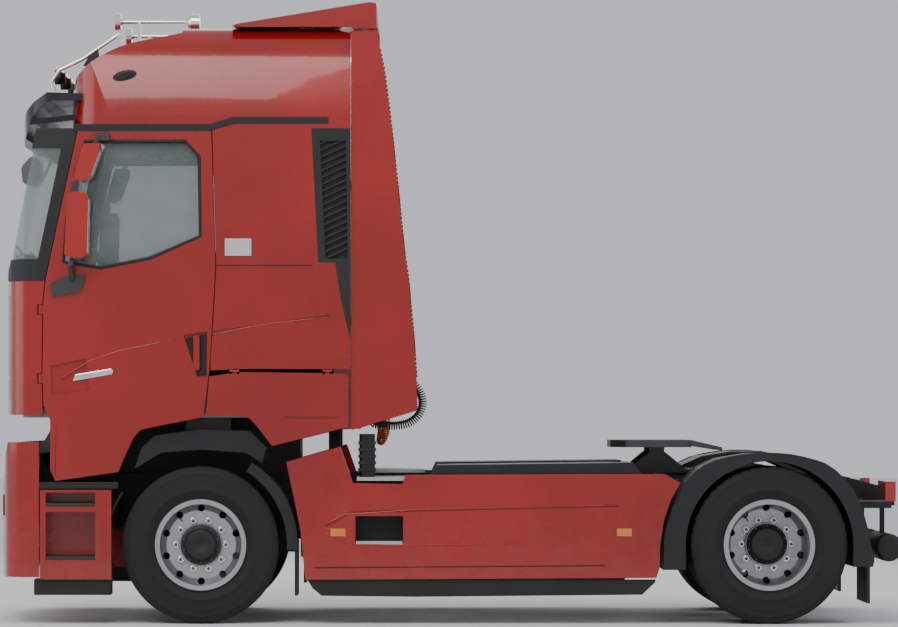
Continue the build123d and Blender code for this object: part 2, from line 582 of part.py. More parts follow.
def knuckle(side):
    """Steering knuckle: kingpin, fork and spindle for the front hub."""
    x = FRONT_AXLE_X
    y = side * KINGPIN_Y
    body = Pos(x, y, AXLE_Z) * Cylinder(22 - 0.1, 190)
    for z in (-82, 82):
        body += Pos(x, y, AXLE_Z + z) * Cylinder(44, 36)
    spindle_end = FRONT_TRACK_HALF + FRONT_DISC_OUT - 60 - SEAT_GAP
    web = Pos(x, side * (KINGPIN_Y + 68), AXLE_Z) * Box(90, 30, 200)
    lugs = Pos(x, side * (KINGPIN_Y + 35), AXLE_Z + 82) * Box(70, 70, 36)
    lugs += Pos(x, side * (KINGPIN_Y + 35), AXLE_Z - 82) * Box(70, 70, 36)
    stub = Pos(x, side * (KINGPIN_Y + 70 + spindle_end) / 2, AXLE_Z) * Rot(90, 0, 0) \
        * Cylinder(60, spindle_end - KINGPIN_Y - 70)
    return body + web + lugs + stub


# ---------------------------------------------------------------- cab shell
NOSE = 1375.0
NOSE_TOP_Z = 2290.0
CORNER_R = 190.0
HATCH_HALF = CAB_HALF - 239.0
HATCH_LOW_Z = 1660.0
HATCH_GAP = 18.0
SCREEN_TOP = (1118, 3200)
CAB_FRONT_PROFILE = (
    # ahead, z: nose, cowl, windscreen and header at the middle of the cab
    (1366, 1397), (NOSE, 1600), (NOSE, NOSE_TOP_Z), (NOSE, 2316), (1282, 2420), SCREEN_TOP, (1092, BELT_Z),
)
DOOR_OUTLINE = (
    # ahead, z
    (815, 3297), (825, 3250), (1030, 2300), (1045, 2163), (1051, 1710), (1045, 1463), (1000, 1363), (1000, 1030),
    (965, 957), (545, 1017), (498, 1130), (445, 1243), (398, 1297), (331, 1313), (-22, 1383), (-62, 1697),
    (-82, 2030), (-102, 2377), (-89, 2830), (-75, 3297),
)
WINDOW_OUTLINE = (
    (771, 3223), (825, 3030), (891, 2697), (911, 2417), (665, 2377), (398, 2430), (331, 2443), (-2, 2590),
    (5, 3120), (98, 3223),
)
GLASS_THICK = 8.0


def cab_solid(inset):
    """Solid of the cab below the belt, every outer face set in by the given amount."""
    body = bowed(NOSE - inset, CAB_REAR + inset, CAB_HALF - inset, CORNER_R - inset / 2, CAB_FLOOR_Z - 60, BELT_Z)
    front = [(a - inset, z) for a, z in CAB_FRONT_PROFILE]
    cutter = [(1700, 1300)] + [(front[0][0], 1300)] + front + [(1700, BELT_Z)]
    return body - side_plate(cutter, -BODY_HALF - 20, BODY_HALF + 20)


def cab_front_cut(a_gap):
    """Region ahead of the door's front edge, by side outline."""
    return [(815 + a_gap, BELT_Z + 1), (825 + a_gap, 3250), (1030 + a_gap, 2300), (1045 + a_gap, 2163),
            (1051 + a_gap, 1710), (1045 + a_gap, 1463), (1045 + a_gap, 1330), (1700, 1330), (1700, BELT_Z + 1)]


HINGE_Y = CAB_HALF - 12.0
HINGE_ZS = (1640.0, 2100.0)
HINGE_PIN_R = 7.0
HINGE_BARREL_R = 12.0
HINGE_BARREL_HALF = 30.0


def hinge_pocket(z):
    """Space in the front pillar for one door hinge barrel."""
    low = HINGE_BARREL_HALF + RUNNING_GAP
    return block(1030, HINGE_AHEAD + 20, HINGE_Y - 20, BODY_HALF + 10, z - low, z + low)


def screen_side(gap):
    """Region of the windscreen, by side outline, between the cowl, the slanted pillars and the header."""
    return [(1700, 2433 + gap), (1083 + gap, 2437 + gap), (925 + gap, 3180 - gap), (1700, 3180 - gap)]


def cab_front():
    """Shell ahead of the doors split into the screen frame with its pillars and the front panels."""
    shell = (cab_solid(0) - cab_solid(WALL)) & side_plate(cab_front_cut(RUNNING_GAP), -BODY_HALF, BODY_HALF)
    upper = shell & block(0, 1600, -BODY_HALF, BODY_HALF, NOSE_TOP_Z, BELT_Z)
    upper -= block(1240, 1600, -HATCH_HALF - 5, HATCH_HALF + 5, NOSE_TOP_Z - 5, 2316)
    lower = shell & block(0, 1600, -BODY_HALF, BODY_HALF, 1397, NOSE_TOP_Z - SEAT_GAP)
    upper -= side_plate(screen_side(0), -BODY_HALF - 20, BODY_HALF + 20)
    lower -= block(1200, 1600, -HATCH_HALF, HATCH_HALF, HATCH_LOW_Z - HATCH_GAP, NOSE_TOP_Z + 5)
    lower -= block(1000, 1240, -HATCH_HALF + 5, HATCH_HALF - 5, 1300, NOSE_TOP_Z + 5)
    bulkhead = block(1150, 1190, -CAB_HALF + 56, CAB_HALF - 56, CAB_FLOOR_Z + CAB_FLOOR_THICK + SEAT_GAP, 2475)
    bulkhead &= bowed(NOSE - WALL - SEAT_GAP, CAB_REAR, CAB_HALF - WALL - SEAT_GAP, CORNER_R - WALL / 2, 1300, 2600)
    shelf = block(1150, 1240, -1100, 1100, 2430, 2470)
    upper += bulkhead + shelf
    for z in HINGE_ZS:
        for side in (1, -1):
            pocket = hinge_pocket(z)
            pin = rod(HINGE_PIN_R, (HINGE_AHEAD, HINGE_Y, z - 50), (HINGE_AHEAD, HINGE_Y, z + 50))
            if side < 0:
                pocket = mirror(pocket, about=Plane.XZ)
                pin = mirror(pin, about=Plane.XZ)
            lower = lower - pocket + pin
    lower += both(block(1190.3, 1290, HATCH_HALF + 8, HATCH_HALF + 40, 1500, 2200))
    upper += hatch_hinge_lugs()
    return upper, lower


HATCH_AXIS = (1352.0, 2284.0)
HATCH_HINGE_Y = 350.0
HATCH_TOP_Z = 2270.0
LUG_THICK = 10.0
LUG_GAP = 4.0


def hatch_hinge_lugs():
    """Fixed lugs with their pins for the hatch, carried by the bulkhead."""
    a, z = HATCH_AXIS
    body = rod(6.0, (a, HATCH_HINGE_Y - 35, z), (a, HATCH_HINGE_Y + 35, z))
    for offset in (-30.0, 20.0):
        body += block(1185, a + 11, HATCH_HINGE_Y + offset, HATCH_HINGE_Y + offset + LUG_THICK, z - 10, z + 14)
    return both(body)


def front_hatch():
    """Bowed service panel under the windscreen with hinge barrels at its top edge."""
    a, z = HATCH_AXIS
    outer = bowed(NOSE, 900, CAB_HALF, CORNER_R, HATCH_LOW_Z, HATCH_TOP_Z)
    inner = bowed(NOSE - HATCH_THICK, 850, CAB_HALF - HATCH_THICK, CORNER_R - 20, HATCH_LOW_Z - 5, HATCH_TOP_Z + 5)
    half = HATCH_HALF - RUNNING_GAP
    skin = (outer - inner) & block(1150, 1500, -half, half, HATCH_LOW_Z, HATCH_TOP_Z)
    for side in (1, -1):
        y = side * HATCH_HINGE_Y
        ring = Pos(ahead(a), y, z) * Rot(90, 0, 0) * Cylinder(12, 30)
        web = block(a - 10, a + 12, y - 15, y + 15, HATCH_TOP_Z - 20, z)
        bore = Pos(ahead(a), y, z) * Rot(90, 0, 0) * Cylinder(6.1, 40)
        for offset in (-25.0, 25.0):
            skin -= Pos(ahead(a), y + offset, z) * Rot(90, 0, 0) * Cylinder(24, LUG_THICK + 2 * LUG_GAP)
        skin = skin + ring + web - bore
    return skin


def windscreen():
    """Bowed, laid-back screen glass that wraps round to the pillars."""
    def leaf(inset):
        body = bowed(NOSE - inset, 700, CAB_HALF - inset, CORNER_R - inset / 2, 2400, 3250)
        front = [(a - inset, z) for a, z in CAB_FRONT_PROFILE]
        cutter = [(1700, 2300)] + front[3:] + [(1700, BELT_Z)]
        return body - side_plate(cutter, -BODY_HALF - 20, BODY_HALF + 20)
    glass = leaf(12) - leaf(12 + GLASS_THICK)
    return glass & side_plate(screen_side(SEAT_GAP), -BODY_HALF, BODY_HALF)


LOCKER_OUTLINE = (
    (-62, 1655), (-262, 1683), (-960, 1675), (-990, 1648), (-990, 1318), (-480, 1190), (-380, 1322), (-330, 1375),
    (-262, 1392), (-40, 1392),
)
LOCKER_GAP = 8.0
LOCKER_THICK = 50.0


def cab_sides():
    """Side walls behind the doors, open where the lockers and vents sit."""
    points = [(-81, BELT_Z), (-95, 2830), (-108, 2377), (-88, 2030), (-70, 1780), (-70, 1694), (-262, 1706),
              (-1002, 1702), (-1002, 1900), (-995, 1930), (-941, 2163), (-901, 2412), (-788, 2417), (-742, BELT_Z)]
    plate = side_plate(points, CAB_HALF - WALL, CAB_HALF)
    groove = [(-70, 1955), (-870, 2068), (-870, 2056), (-70, 1943)]
    plate -= side_plate(groove, CAB_HALF - 8, CAB_HALF + 5)
    rear_post = block(-951.7, -890, 1174.3, 1196, 1320, 1720)
    inner_post = block(-54, -4, 1130, 1174, 1440.3, BELT_Z)
    join = block(-150, -53, 1130, 1174, 1800, 2000) + block(-150, -114, 1130, 1190, 1800, 2000)
    join += block(-150, -53, 1130, 1174, 3000, 3200) + block(-150, -114, 1130, 1190, 3000, 3200)
    return both(plate + rear_post + inner_post + join)


def side_vents():
    """Black louvred panels that close the wall behind the red quarter panels."""
    points = [(-742 - SEAT_GAP, BELT_Z), (-788 - SEAT_GAP, 2417 + SEAT_GAP), (-901, 2412 + SEAT_GAP),
              (-1002, 2412 + SEAT_GAP), (-1002, BELT_Z)]
    plate = side_plate(points, CAB_HALF - WALL, CAB_HALF)
    well = [(-800, 3225), (-972, 3225), (-985, 2440), (-838, 2440)]
    plate -= side_plate(well, CAB_HALF - 30, CAB_HALF + 5)
    field = side_plate([(-800, 3230), (-974, 3230), (-987, 2435), (-838, 2435)], CAB_HALF - 31, CAB_HALF)
    for k in range(18):
        z = 2440 + 46 * k
        slat = side_plate([(-780, z - 30), (-1000, z + 70), (-1000, z + 84), (-780, z - 16)], CAB_HALF - 31, CAB_HALF - 6)
        plate += slat & field
    rear = side_plate([(-901 - SEAT_GAP, 2412), (-941 - SEAT_GAP, 2163), (-995, 1931), (-1002, 1931), (-1002, 2412)],
                      CAB_HALF - WALL, CAB_HALF - 2)
    return both(plate + rear)


def cab_rear_wall():
    """Rear wall between the side walls."""
    half = CAB_HALF - WALL - SEAT_GAP
    return block(CAB_REAR, CAB_REAR + 50, -half, half, 1300, BELT_Z - SEAT_GAP)


TUNNEL_HALF = 420.0
TUNNEL_TOP_Z = 1600.0


def cab_floor():
    """Floor pressing with an engine tunnel, door sills and the tilt arms down to the pivots."""
    half = BODY_HALF - DOOR_THICK - RUNNING_GAP
    top = CAB_FLOOR_Z + CAB_FLOOR_THICK
    body = block(CAB_REAR + 50 + SEAT_GAP, 1190, -half, half, CAB_FLOOR_Z, top)
    body -= block(-900, 1000, -TUNNEL_HALF + 40, TUNNEL_HALF - 40, CAB_FLOOR_Z - 5, top + 5)
    hump = block(-900, 1000, -TUNNEL_HALF, TUNNEL_HALF, CAB_FLOOR_Z, TUNNEL_TOP_Z)
    hump -= block(-860, 960, -TUNNEL_HALF + 40, TUNNEL_HALF - 40, CAB_FLOOR_Z - 5, TUNNEL_TOP_Z - 40)
    body += hump
    body &= bowed(NOSE - WALL - SEAT_GAP, CAB_REAR, CAB_HALF - WALL - SEAT_GAP, CORNER_R - WALL / 2, 1300, 1700)
    return body + both(tilt_arm())


def tilt_arm():
    """Swan-necked arm that runs back from the pivot before it rises, to clear the bumper as the cab tilts."""
    inner, outer = TILT_ARM_Y
    neck = side_plate([(TILT_AHEAD, TILT_Z + TILT_BOSS_R), (TILT_AHEAD - 90, TILT_Z + 65),
                       (TILT_AHEAD - 135, TILT_Z + 140), (TILT_AHEAD - 150, CAB_FLOOR_Z + 20),
                       (TILT_AHEAD - 260, CAB_FLOOR_Z + 20), (TILT_AHEAD - 240, TILT_Z + 110),
                       (TILT_AHEAD - 150, TILT_Z), (TILT_AHEAD, TILT_Z - TILT_BOSS_R)], inner, outer)
    boss = rod(TILT_BOSS_R, (TILT_AHEAD, inner, TILT_Z), (TILT_AHEAD, outer, TILT_Z))
    bore = Pos(ahead(TILT_AHEAD), (inner + outer) / 2, TILT_Z) * Rot(90, 0, 0) * Cylinder(22, 200)
    return neck + boss - bore


def hinge_barrel(z):
    """Barrel and web on the left door for one hinge pin."""
    ring = Pos(ahead(HINGE_AHEAD), HINGE_Y, z) * Cylinder(HINGE_BARREL_R, 2 * HINGE_BARREL_HALF)
    web = block(1025, HINGE_AHEAD, HINGE_Y - 8, HINGE_Y + 8, z - HINGE_BARREL_HALF, z + HINGE_BARREL_HALF)
    bore = Pos(ahead(HINGE_AHEAD), HINGE_Y, z) * Cylinder(HINGE_PIN_R + 0.1, 3 * HINGE_BARREL_HALF)
    return ring + web, bore


def door():
    """Left door: full-height panel with its window opening, lower step skirt and handle recess."""
    plate = side_plate(DOOR_OUTLINE, BODY_HALF - DOOR_THICK, BODY_HALF)
    plate -= side_plate(WINDOW_OUTLINE, BODY_HALF - DOOR_THICK - 5, BODY_HALF + 5)
    lap = [(800, 3240), (850, 3030), (918, 2700), (936, 2400), (665, 2352), (398, 2405), (-28, 2575),
           (-20, 3130), (90, 3248)]
    plate -= side_plate(lap, BODY_HALF - DOOR_THICK - 5, BODY_HALF - 45)
    recess = side_plate([(995, 1725), (760, 1775), (735, 1560), (990, 1530)], BODY_HALF - 22, BODY_HALF + 5)
    grip_bay = side_plate([(110, 1930), (-50, 1955), (-48, 1650), (20, 1650)], BODY_HALF - 40, BODY_HALF + 5)
    plate = plate - recess - grip_bay
    grip = side_plate([(45, 1925), (5, 1930), (5, 1700), (45, 1690)], BODY_HALF - 22, BODY_HALF - 2)
    foot = block(5, 45, BODY_HALF - 41, BODY_HALF - 2, 1880, 1915) + block(5, 45, BODY_HALF - 41, BODY_HALF - 2, 1700, 1735)
    plate = plate + grip + foot
    for z in HINGE_ZS:
        ring, bore = hinge_barrel(z)
        plate = plate + ring - bore
    return plate


def door_glass():
    """Side window pane seated in the door's inner rebate."""
    pane = [(790, 3230), (840, 3030), (908, 2700), (926, 2410), (665, 2362), (398, 2415), (-18, 2580), (-10, 3128),
            (93, 3238)]
    return side_plate(pane, BODY_HALF - 45 - SEAT_GAP - GLASS_THICK, BODY_HALF - 45 - SEAT_GAP)


MIRROR_IN_Y = BODY_HALF + 45.0
MIRROR_OUT_Y = BODY_HALF + 220.0
MIRROR_EDGE_R = 12.0
UPPER_MIRROR = ((760, 3195), (655, 3195), (648, 3150), (712, 2975), (765, 2940), (822, 2968), (805, 3050))
LOWER_MIRROR = ((862, 2868), (745, 2872), (727, 2835), (737, 2462), (785, 2417), (886, 2455), (868, 2830))


def door_mirror():
    """Twin mirror housings on arms from the door's head and waist."""
    bodies = side_plate(UPPER_MIRROR, MIRROR_IN_Y, MIRROR_OUT_Y, MIRROR_EDGE_R)
    bodies += side_plate(LOWER_MIRROR, MIRROR_IN_Y, MIRROR_OUT_Y, MIRROR_EDGE_R)
    arm_y = MIRROR_IN_Y + 90
    link = block(800, 845, MIRROR_IN_Y + 35, MIRROR_IN_Y + 105, 2860, 2975)
    head = block(600, 690, BODY_HALF + SEAT_GAP, MIRROR_IN_Y - 5, 3225, 3275)
    arm = rod(16, (660, MIRROR_IN_Y - 25, 3250), (735, MIRROR_IN_Y + 85, 3150))
    foot = side_plate([(998, 2270), (890, 2325), (765, 2330), (785, 2240), (811, 2215), (985, 2190)],
                      BODY_HALF + SEAT_GAP, BODY_HALF + 26)
    low_arm = rod(18, (850, BODY_HALF + 12, 2290), (850, arm_y, 2400))
    low_arm += rod(17, (850, arm_y, 2385), (845, arm_y, 2480))
    return bodies + link + head + arm + foot + low_arm


def locker_hinge(z, place):
    """Lug pair with its pin on the fixed side and the barrel with its notches on the door side."""
    y = LOCKER_AXIS_Y
    pin = rod(5.0, (place - 32, y, z), (place + 32, y, z))
    lugs = pin
    for offset in (-30.0, 20.0):
        lugs += block(place + offset, place + offset + LUG_THICK, y - 40, y + 3, z - 5, z + 30)
    barrel = rod(9.0, (place - 15, y, z), (place + 15, y, z))
    web = block(place - 15, place + 15, y - 24, y - 2, z - 60, z)
    bore = rod(5.1, (place - 17, y, z), (place + 17, y, z))
    notch = rod(22.0, (place - 34, y, z), (place - 16, y, z)) + rod(22.0, (place + 16, y, z), (place + 34, y, z))
    return lugs, barrel + web, bore, notch


LOCKER_AXIS_Y = CAB_HALF - 3.0
LOCKER_AXIS_Z = 1690.0
LOCKER_HINGES = (-230.0, -850.0)


def locker_door():
    """Left service locker door, hinged along its top edge."""
    plate = side_plate(LOCKER_OUTLINE, BODY_HALF - LOCKER_THICK, BODY_HALF)
    plate -= side_plate([(-570, 1386), (-930, 1386), (-930, 1370), (-560, 1374)], BODY_HALF - 10, BODY_HALF + 5)
    for place in LOCKER_HINGES:
        lugs, barrel, bore, notch = locker_hinge(LOCKER_AXIS_Z, place)
        plate = plate - notch + barrel - bore
    return plate


def locker_lugs():
    """Fixed hinge lugs of both lockers under the side walls."""
    body = None
    for place in LOCKER_HINGES:
        lugs = locker_hinge(LOCKER_AXIS_Z, place)[0]
        body = lugs if body is None else body + lugs
    return body


# ---------------------------------------------------------------- roof and outside fittings
ROOF_SLOPE = (
    # ahead, z: the roof's front slope and crown at its middle, a smooth curve
    (930, 3440), (905, 3560), (831, 3670), (665, 3800), (465, 3890), (130, 3972), (-200, ROOF_TOP_Z),
)
ROOF_SHOULDER = (
    # distance in from the side wall, z: the roof's cross-section, a smooth curve
    (0, 3400), (20, 3640), (75, 3830), (180, 3950), (344, ROOF_TOP_Z + 1),
)
ROOF_REAR_Z = 3960.0


def roof_slope(inset):
    """Curve of the roof's front slope set in by a wall."""
    points = [(ahead(a - inset * (a > 0)), z - inset) for a, z in ROOF_SLOPE]
    return Spline(*points, tangents=[(0, 1), (-1, 0)])


def roof_solid(inset):
    """Roof volume as the common part of its side, front and plan outlines."""
    base = BELT_Z + SEAT_GAP
    slope = roof_slope(inset)
    front, crest = slope @ 0, slope @ 1
    rear = ahead(CAB_REAR + inset)
    path = Polyline(crest, (ahead(-880), ROOF_TOP_Z - inset), (rear, ROOF_REAR_Z - inset), (rear, base),
                    (front.X, base), front)
    side = Plane.XZ * make_face([slope, path])
    body = Pos(0, -BODY_HALF, 0) * extrude(side, amount=2 * BODY_HALF, dir=(0, 1, 0))
    left = [(CAB_HALF - inset - y, z - inset) for y, z in ROOF_SHOULDER]
    shoulder = Spline(*left, tangents=[(0, 1), (-1, 0)])
    other = Spline(*[(-y, z) for y, z in reversed(left)], tangents=[(-1, 0), (0, -1)])
    foot = Polyline(other @ 1, (inset - CAB_HALF, base), (CAB_HALF - inset, base), shoulder @ 0)
    section = Plane.YZ * make_face([shoulder, Line(shoulder @ 1, other @ 0), other, foot])
    body &= Pos(ahead(-1100), 0, 0) * extrude(section, amount=2300)
    return body & bowed(930 - inset, CAB_REAR + inset, CAB_HALF - inset, 260, BELT_Z - 10, ROOF_TOP_Z + 10)


def roof_height(a):
    """Height of the roof's crown at a distance ahead of the front axle."""
    slope = roof_slope(0)
    low, high = 0.0, 1.0
    for _ in range(30):
        middle = (low + high) / 2
        if (slope @ middle).X > ahead(a):
            low = middle
        else:
            high = middle
    return (slope @ low).Y


def cab_roof():
    """High roof shell, hollow from below, with the header over the windscreen."""
    body = roof_solid(0) - (roof_solid(45) + block(-950, 870, -1100, 1100, BELT_Z - 1, BELT_Z + 40))
    return body


def roof_deflector():
    """Air deflector raised at the rear of the roof on its struts."""
    outline_points = [(-205, 4008), (-235, 4022), (-1128, 4168), (-1172, 4160), (-1178, 4130), (-1100, 4120),
                      (-1060, 4100), (-300, 4004 + SEAT_GAP), (-260, ROOF_TOP_Z + 0.6)]
    body = side_plate(outline_points, -1090, 1090)
    cheek = side_plate([(-240, 4002), (-1130, 4150), (-1176, 4140), (-1178, 3990), (-1010, 3990), (-1010, 4002.3),
                        (-300, 4000.3)], 1060, 1090)
    return body + both(cheek)


def side_deflectors():
    """Side fairings that extend the cab to the rear, with a stiff edge."""
    points = [(-1008, 3960), (-1185, 3965), (-1202, 3830), (-1229, 3697), (-1262, 3450), (-1289, 3210), (-1329, 2830),
              (-1362, 2497), (-1389, 2317), (-1402, 2163), (-1422, 1963), (-1442, 1683), (-1449, 1440), (-1440, 1428),
              (-1015, 1297), (-1009, 1300), (-1009, 1860), (-1009, 2400)]
    plate = side_plate(points, 1195, 1225)
    for z in (1500, 2000, 2900):
        plate += block(-1052, CAB_REAR - SEAT_GAP, 1150, 1196, z, z + 60)
    return both(plate)


def sun_visor():
    """Smoked one-piece visor across the windscreen's head with its side brackets."""
    outer = [(700, 3545), (1030, 3560), (1130, 3500), (1215, 3415), (1262, 3262), (1240, 3235), (1195, 3262),
             (1150, 3380), (1080, 3470), (1000, 3505), (700, 3500)]
    body = side_plate(outer, -1150, 1150)
    body &= bowed(1262, 700, 1150, 300, 3200, 3600)
    arm = side_plate([(836, 3420), (1150, 3380), (1150, 3345), (836, 3380)], 1040, 1065)
    return body + both(arm) - bowed(930 + SEAT_GAP, -500, CAB_HALF + SEAT_GAP, 260, 3200, 3600)


def arch_extensions():
    """Black wheel arch trims under the rear edge of the door and the locker."""
    band = side_plate([(440, 1045), (395, 1180), (300, 1262), (0, 1300), (-330, 1290), (-440, 1180), (-410, 1075),
                       (-300, 1145), (0, 1165), (265, 1145), (431, 1043)], 900, 1170)
    hanger = block(-200, 100, 960, 1120, 1290, CAB_FLOOR_Z - SEAT_GAP)
    return both(band + hanger)


def roof_rail():
    """Chrome lamp tube along the roof's front edge with its feet, and two roof horns."""
    path = [(990, 3578), (1015, 3640), (960, 3720), (810, 3790), (560, 3960)]
    body = None
    for first, last in zip(path, path[1:]):
        piece = rod(14, (first[0], 1000, first[1]), (last[0], 1000, last[1])) + Pos(ahead(last[0]), 1000, last[1]) * Sphere(14)
        body = piece if body is None else body + piece
    foot = block(540, 570, 985, 1015, roof_height(540) + SEAT_GAP, 3960)
    cross = rod(14, (960, -1000, 3720), (960, 1000, 3720))
    body = both(body + foot) + cross
    return body


def horns():
    """Two roof horns, trumpet, bell and diaphragm, on posts."""
    rows = [(0, 40), (52, 40), (60, 0), (40, 12), (14, 60), (11, 480), (40, 500), (52, 520), (52, 580), (0, 585)]
    body = None
    shape = revolve(Plane.XZ * make_face(Polyline(*[(r, o) for r, o in rows], close=True)), axis=Axis.Z)
    shape = Pos(ahead(620), 520, 4090) * Rot(0, -90, 0) * shape
    post = block(445, 465, 505, 535, roof_height(445) + SEAT_GAP, 4082)
    post += block(75, 95, 505, 535, roof_height(75) + SEAT_GAP, 4080)
    return both(shape + post)


def front_mirror():
    """Front-view mirror on its arm from the visor's corner."""
    housing = side_plate([(1268, 3240), (1330, 3262), (1405, 3180), (1392, 3062), (1300, 3045), (1255, 3110)], -1130, -860)
    housing = chamfer(housing.edges().filter_by(Axis.Y), 16)
    arm = rod(13, (1275, -1000, 3075), (1105.8, -1000, 3415.8))
    return housing + arm


# ---------------------------------------------------------------- inside the cab
def dashboard():
    """Dashboard moulding with its binnacle, column and steering wheel."""
    body = side_plate([(1148, 2050), (1148, 2428), (1000, 2440), (860, 2400), (780, 2300), (800, 2150), (900, 2050)],
                      -1120, 1120)
    leg = block(1000, 1148, -300, 300, TUNNEL_TOP_Z + SEAT_GAP, 2051)
    column = rod(35, (840, 620, 2180), (640, 620, 2330))
    wheel = Plane(origin=(ahead(630), 620, 2338), z_dir=(-0.8, 0, 0.6)) * (Torus(225, 17) + Cylinder(60, 30) + Box(430, 40, 18))
    return body + leg + column + wheel


FLOOR_TOP_Z = CAB_FLOOR_Z + CAB_FLOOR_THICK


def seats():
    """Two suspension seats with backs and head rests, and the bunk on its base."""
    seat = block(-200, 260, 440, 860, 1800, 1930) + side_plate([(-200, 1930), (-60, 1930), (-190, 2760), (-290, 2760)], 440, 860)
    seat += block(-100, 160, 540, 760, FLOOR_TOP_Z + SEAT_GAP, 1801)
    bunk = block(-945, -330, -1150, 1150, 1760, 1980)
    base = block(-945, -345, -430, 430, TUNNEL_TOP_Z + SEAT_GAP, 1761)
    return both(seat) + bunk + base


# ---------------------------------------------------------------- air line coils
def air_line(points, diameter):
    """Fat tube along straight runs and tangent arcs for one coiled line."""
    corners = [Vector(ahead(a), y, z) for a, y, z in points]
    radii = []
    for before, here, after in zip(corners, corners[1:], corners[2:]):
        first = here - before
        last = after - here
        turn = math.radians(first.get_angle(last))
        radii.append(0.45 * min(first.length, last.length) / math.tan(turn / 2))
    print("radii", [round(r) for r in radii])
    path = FilletPolyline(*corners, radius=radii)
    start = Plane(origin=corners[0], z_dir=corners[1] - corners[0])
    return sweep(start * Circle(diameter / 2), path=path)


COIL_DIAMETER = 78.0
BLACK_COIL = (
    # ahead, y, z
    (-1060, 250, 1690), (-1190, 250, 1690), (-1350, 258, 1670), (-1465, 270, 1580), (-1495, 285, 1455),
    (-1425, 300, 1350), (-1300, 318, 1318), (-1180, 332, 1335), (-1060, 332, 1335),
)
ORANGE_COIL = (
    # ahead, y, z
    (-1060, -150, 1500), (-1150, -150, 1500), (-1225, -158, 1410), (-1235, -185, 1300), (-1200, -240, 1215),
    (-1185, -320, 1210), (-1200, -385, 1290), (-1180, -418, 1390), (-1130, -425, 1450), (-1060, -425, 1450),
)
SOCKET_R = 34.0


def sockets():
    """Air line sockets standing on the rear wall at each coil's ends."""
    body = None
    for route in (BLACK_COIL, ORANGE_COIL):
        for a, y, z in (route[0], route[-1]):
            stub = rod(SOCKET_R, (CAB_REAR + 1, y, z), (a, y, z))
            body = stub if body is None else body + stub
    return body


# ---------------------------------------------------------------- the whole vehicle
def build():
    """Every node of the tractor unit by name."""
    steps, under_steps = cab_steps()
    screen_frame, front_panels = cab_front()
    nodes = {
        "frame": frame(),
        "engine_block": engine(),
        "front_bumper": bumper(),
        "lamps": lamps(),
        "cab_steps": steps,
        "front_mudguards": front_mudguards(),
        "front_axle": front_axle(),
        "rear_axle": rear_axle(),
        "fuel_tank": fuel_tank(),
        "exhaust_box": exhaust_box(),
        "side_skirts": side_skirts(),
        "lower_skirts": lower_skirts(under_steps),
        "tread_plates": tread_plates(),
        "deck_cover": deck_cover(),
        "fifth_wheel_base": fifth_wheel_base(),
        "fifth_wheel_plate": fifth_wheel_plate(),
        "rear_mudguards": rear_mudguards(),
        "air_tanks": air_tanks(),
        "intake_pipe": intake_pipe(),
        "cab_mounts": cab_mounts(),
        "cab_floor": cab_floor(),
        "cab_sides": cab_sides() + both(locker_lugs()),
        "side_vents": side_vents(),
        "cab_rear_wall": cab_rear_wall() + sockets(),
        "screen_frame": screen_frame,
        "front_panels": front_panels,
        "windscreen": windscreen(),
        "cab_roof": cab_roof(),
        "roof_deflector": roof_deflector(),
        "side_deflectors": side_deflectors(),
        "sun_visor": sun_visor(),
        "arch_extensions": arch_extensions(),
        "roof_rail": roof_rail(),
        "horns": horns(),
        "front_mirror": front_mirror(),
        "dashboard": dashboard(),
        "seats": seats(),
        "front_hatch": front_hatch(),
        "black_coil": air_line(BLACK_COIL, COIL_DIAMETER),
        "orange_coil": air_line(ORANGE_COIL, COIL_DIAMETER),
    }
    for side, name in ((1, "left"), (-1, "right")):
        front_y = side * FRONT_TRACK_HALF
        nodes["knuckle_" + name] = knuckle(side)
        nodes["front_tyre_" + name] = tyre(FRONT_AXLE_X, front_y)
        nodes["front_rim_" + name] = front_rim(side)
        nodes["rear_tyres_" + name] = tyre(REAR_AXLE_X, side * TWIN_OUTER_Y) + tyre(REAR_AXLE_X, side * TWIN_INNER_Y)
        nodes["rear_rims_" + name] = rear_rims(side)
        for title, piece in (("door", door()), ("door_glass", door_glass()), ("door_mirror", door_mirror()),
                             ("locker_door", locker_door())):
            nodes[title + "_" + name] = piece if side > 0 else mirror(piece, about=Plane.XZ)
    return nodes


os.makedirs("parts", exist_ok=True)
for node_name, shape in build().items():
    export_step(shape, "parts/" + node_name + ".step")
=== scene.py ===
"""Looks of a two-axle tractor unit with a tilting sleeper cab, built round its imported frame."""

from __future__ import annotations

import json
import logging
import math
from dataclasses import dataclass
from enum import Enum
from typing import Callable, Iterable, Iterator, Protocol, Sequence

import bpy
import numpy as np
from bpy.types import ID, Material, Node, NodeSocket, Object
from mathutils import Matrix

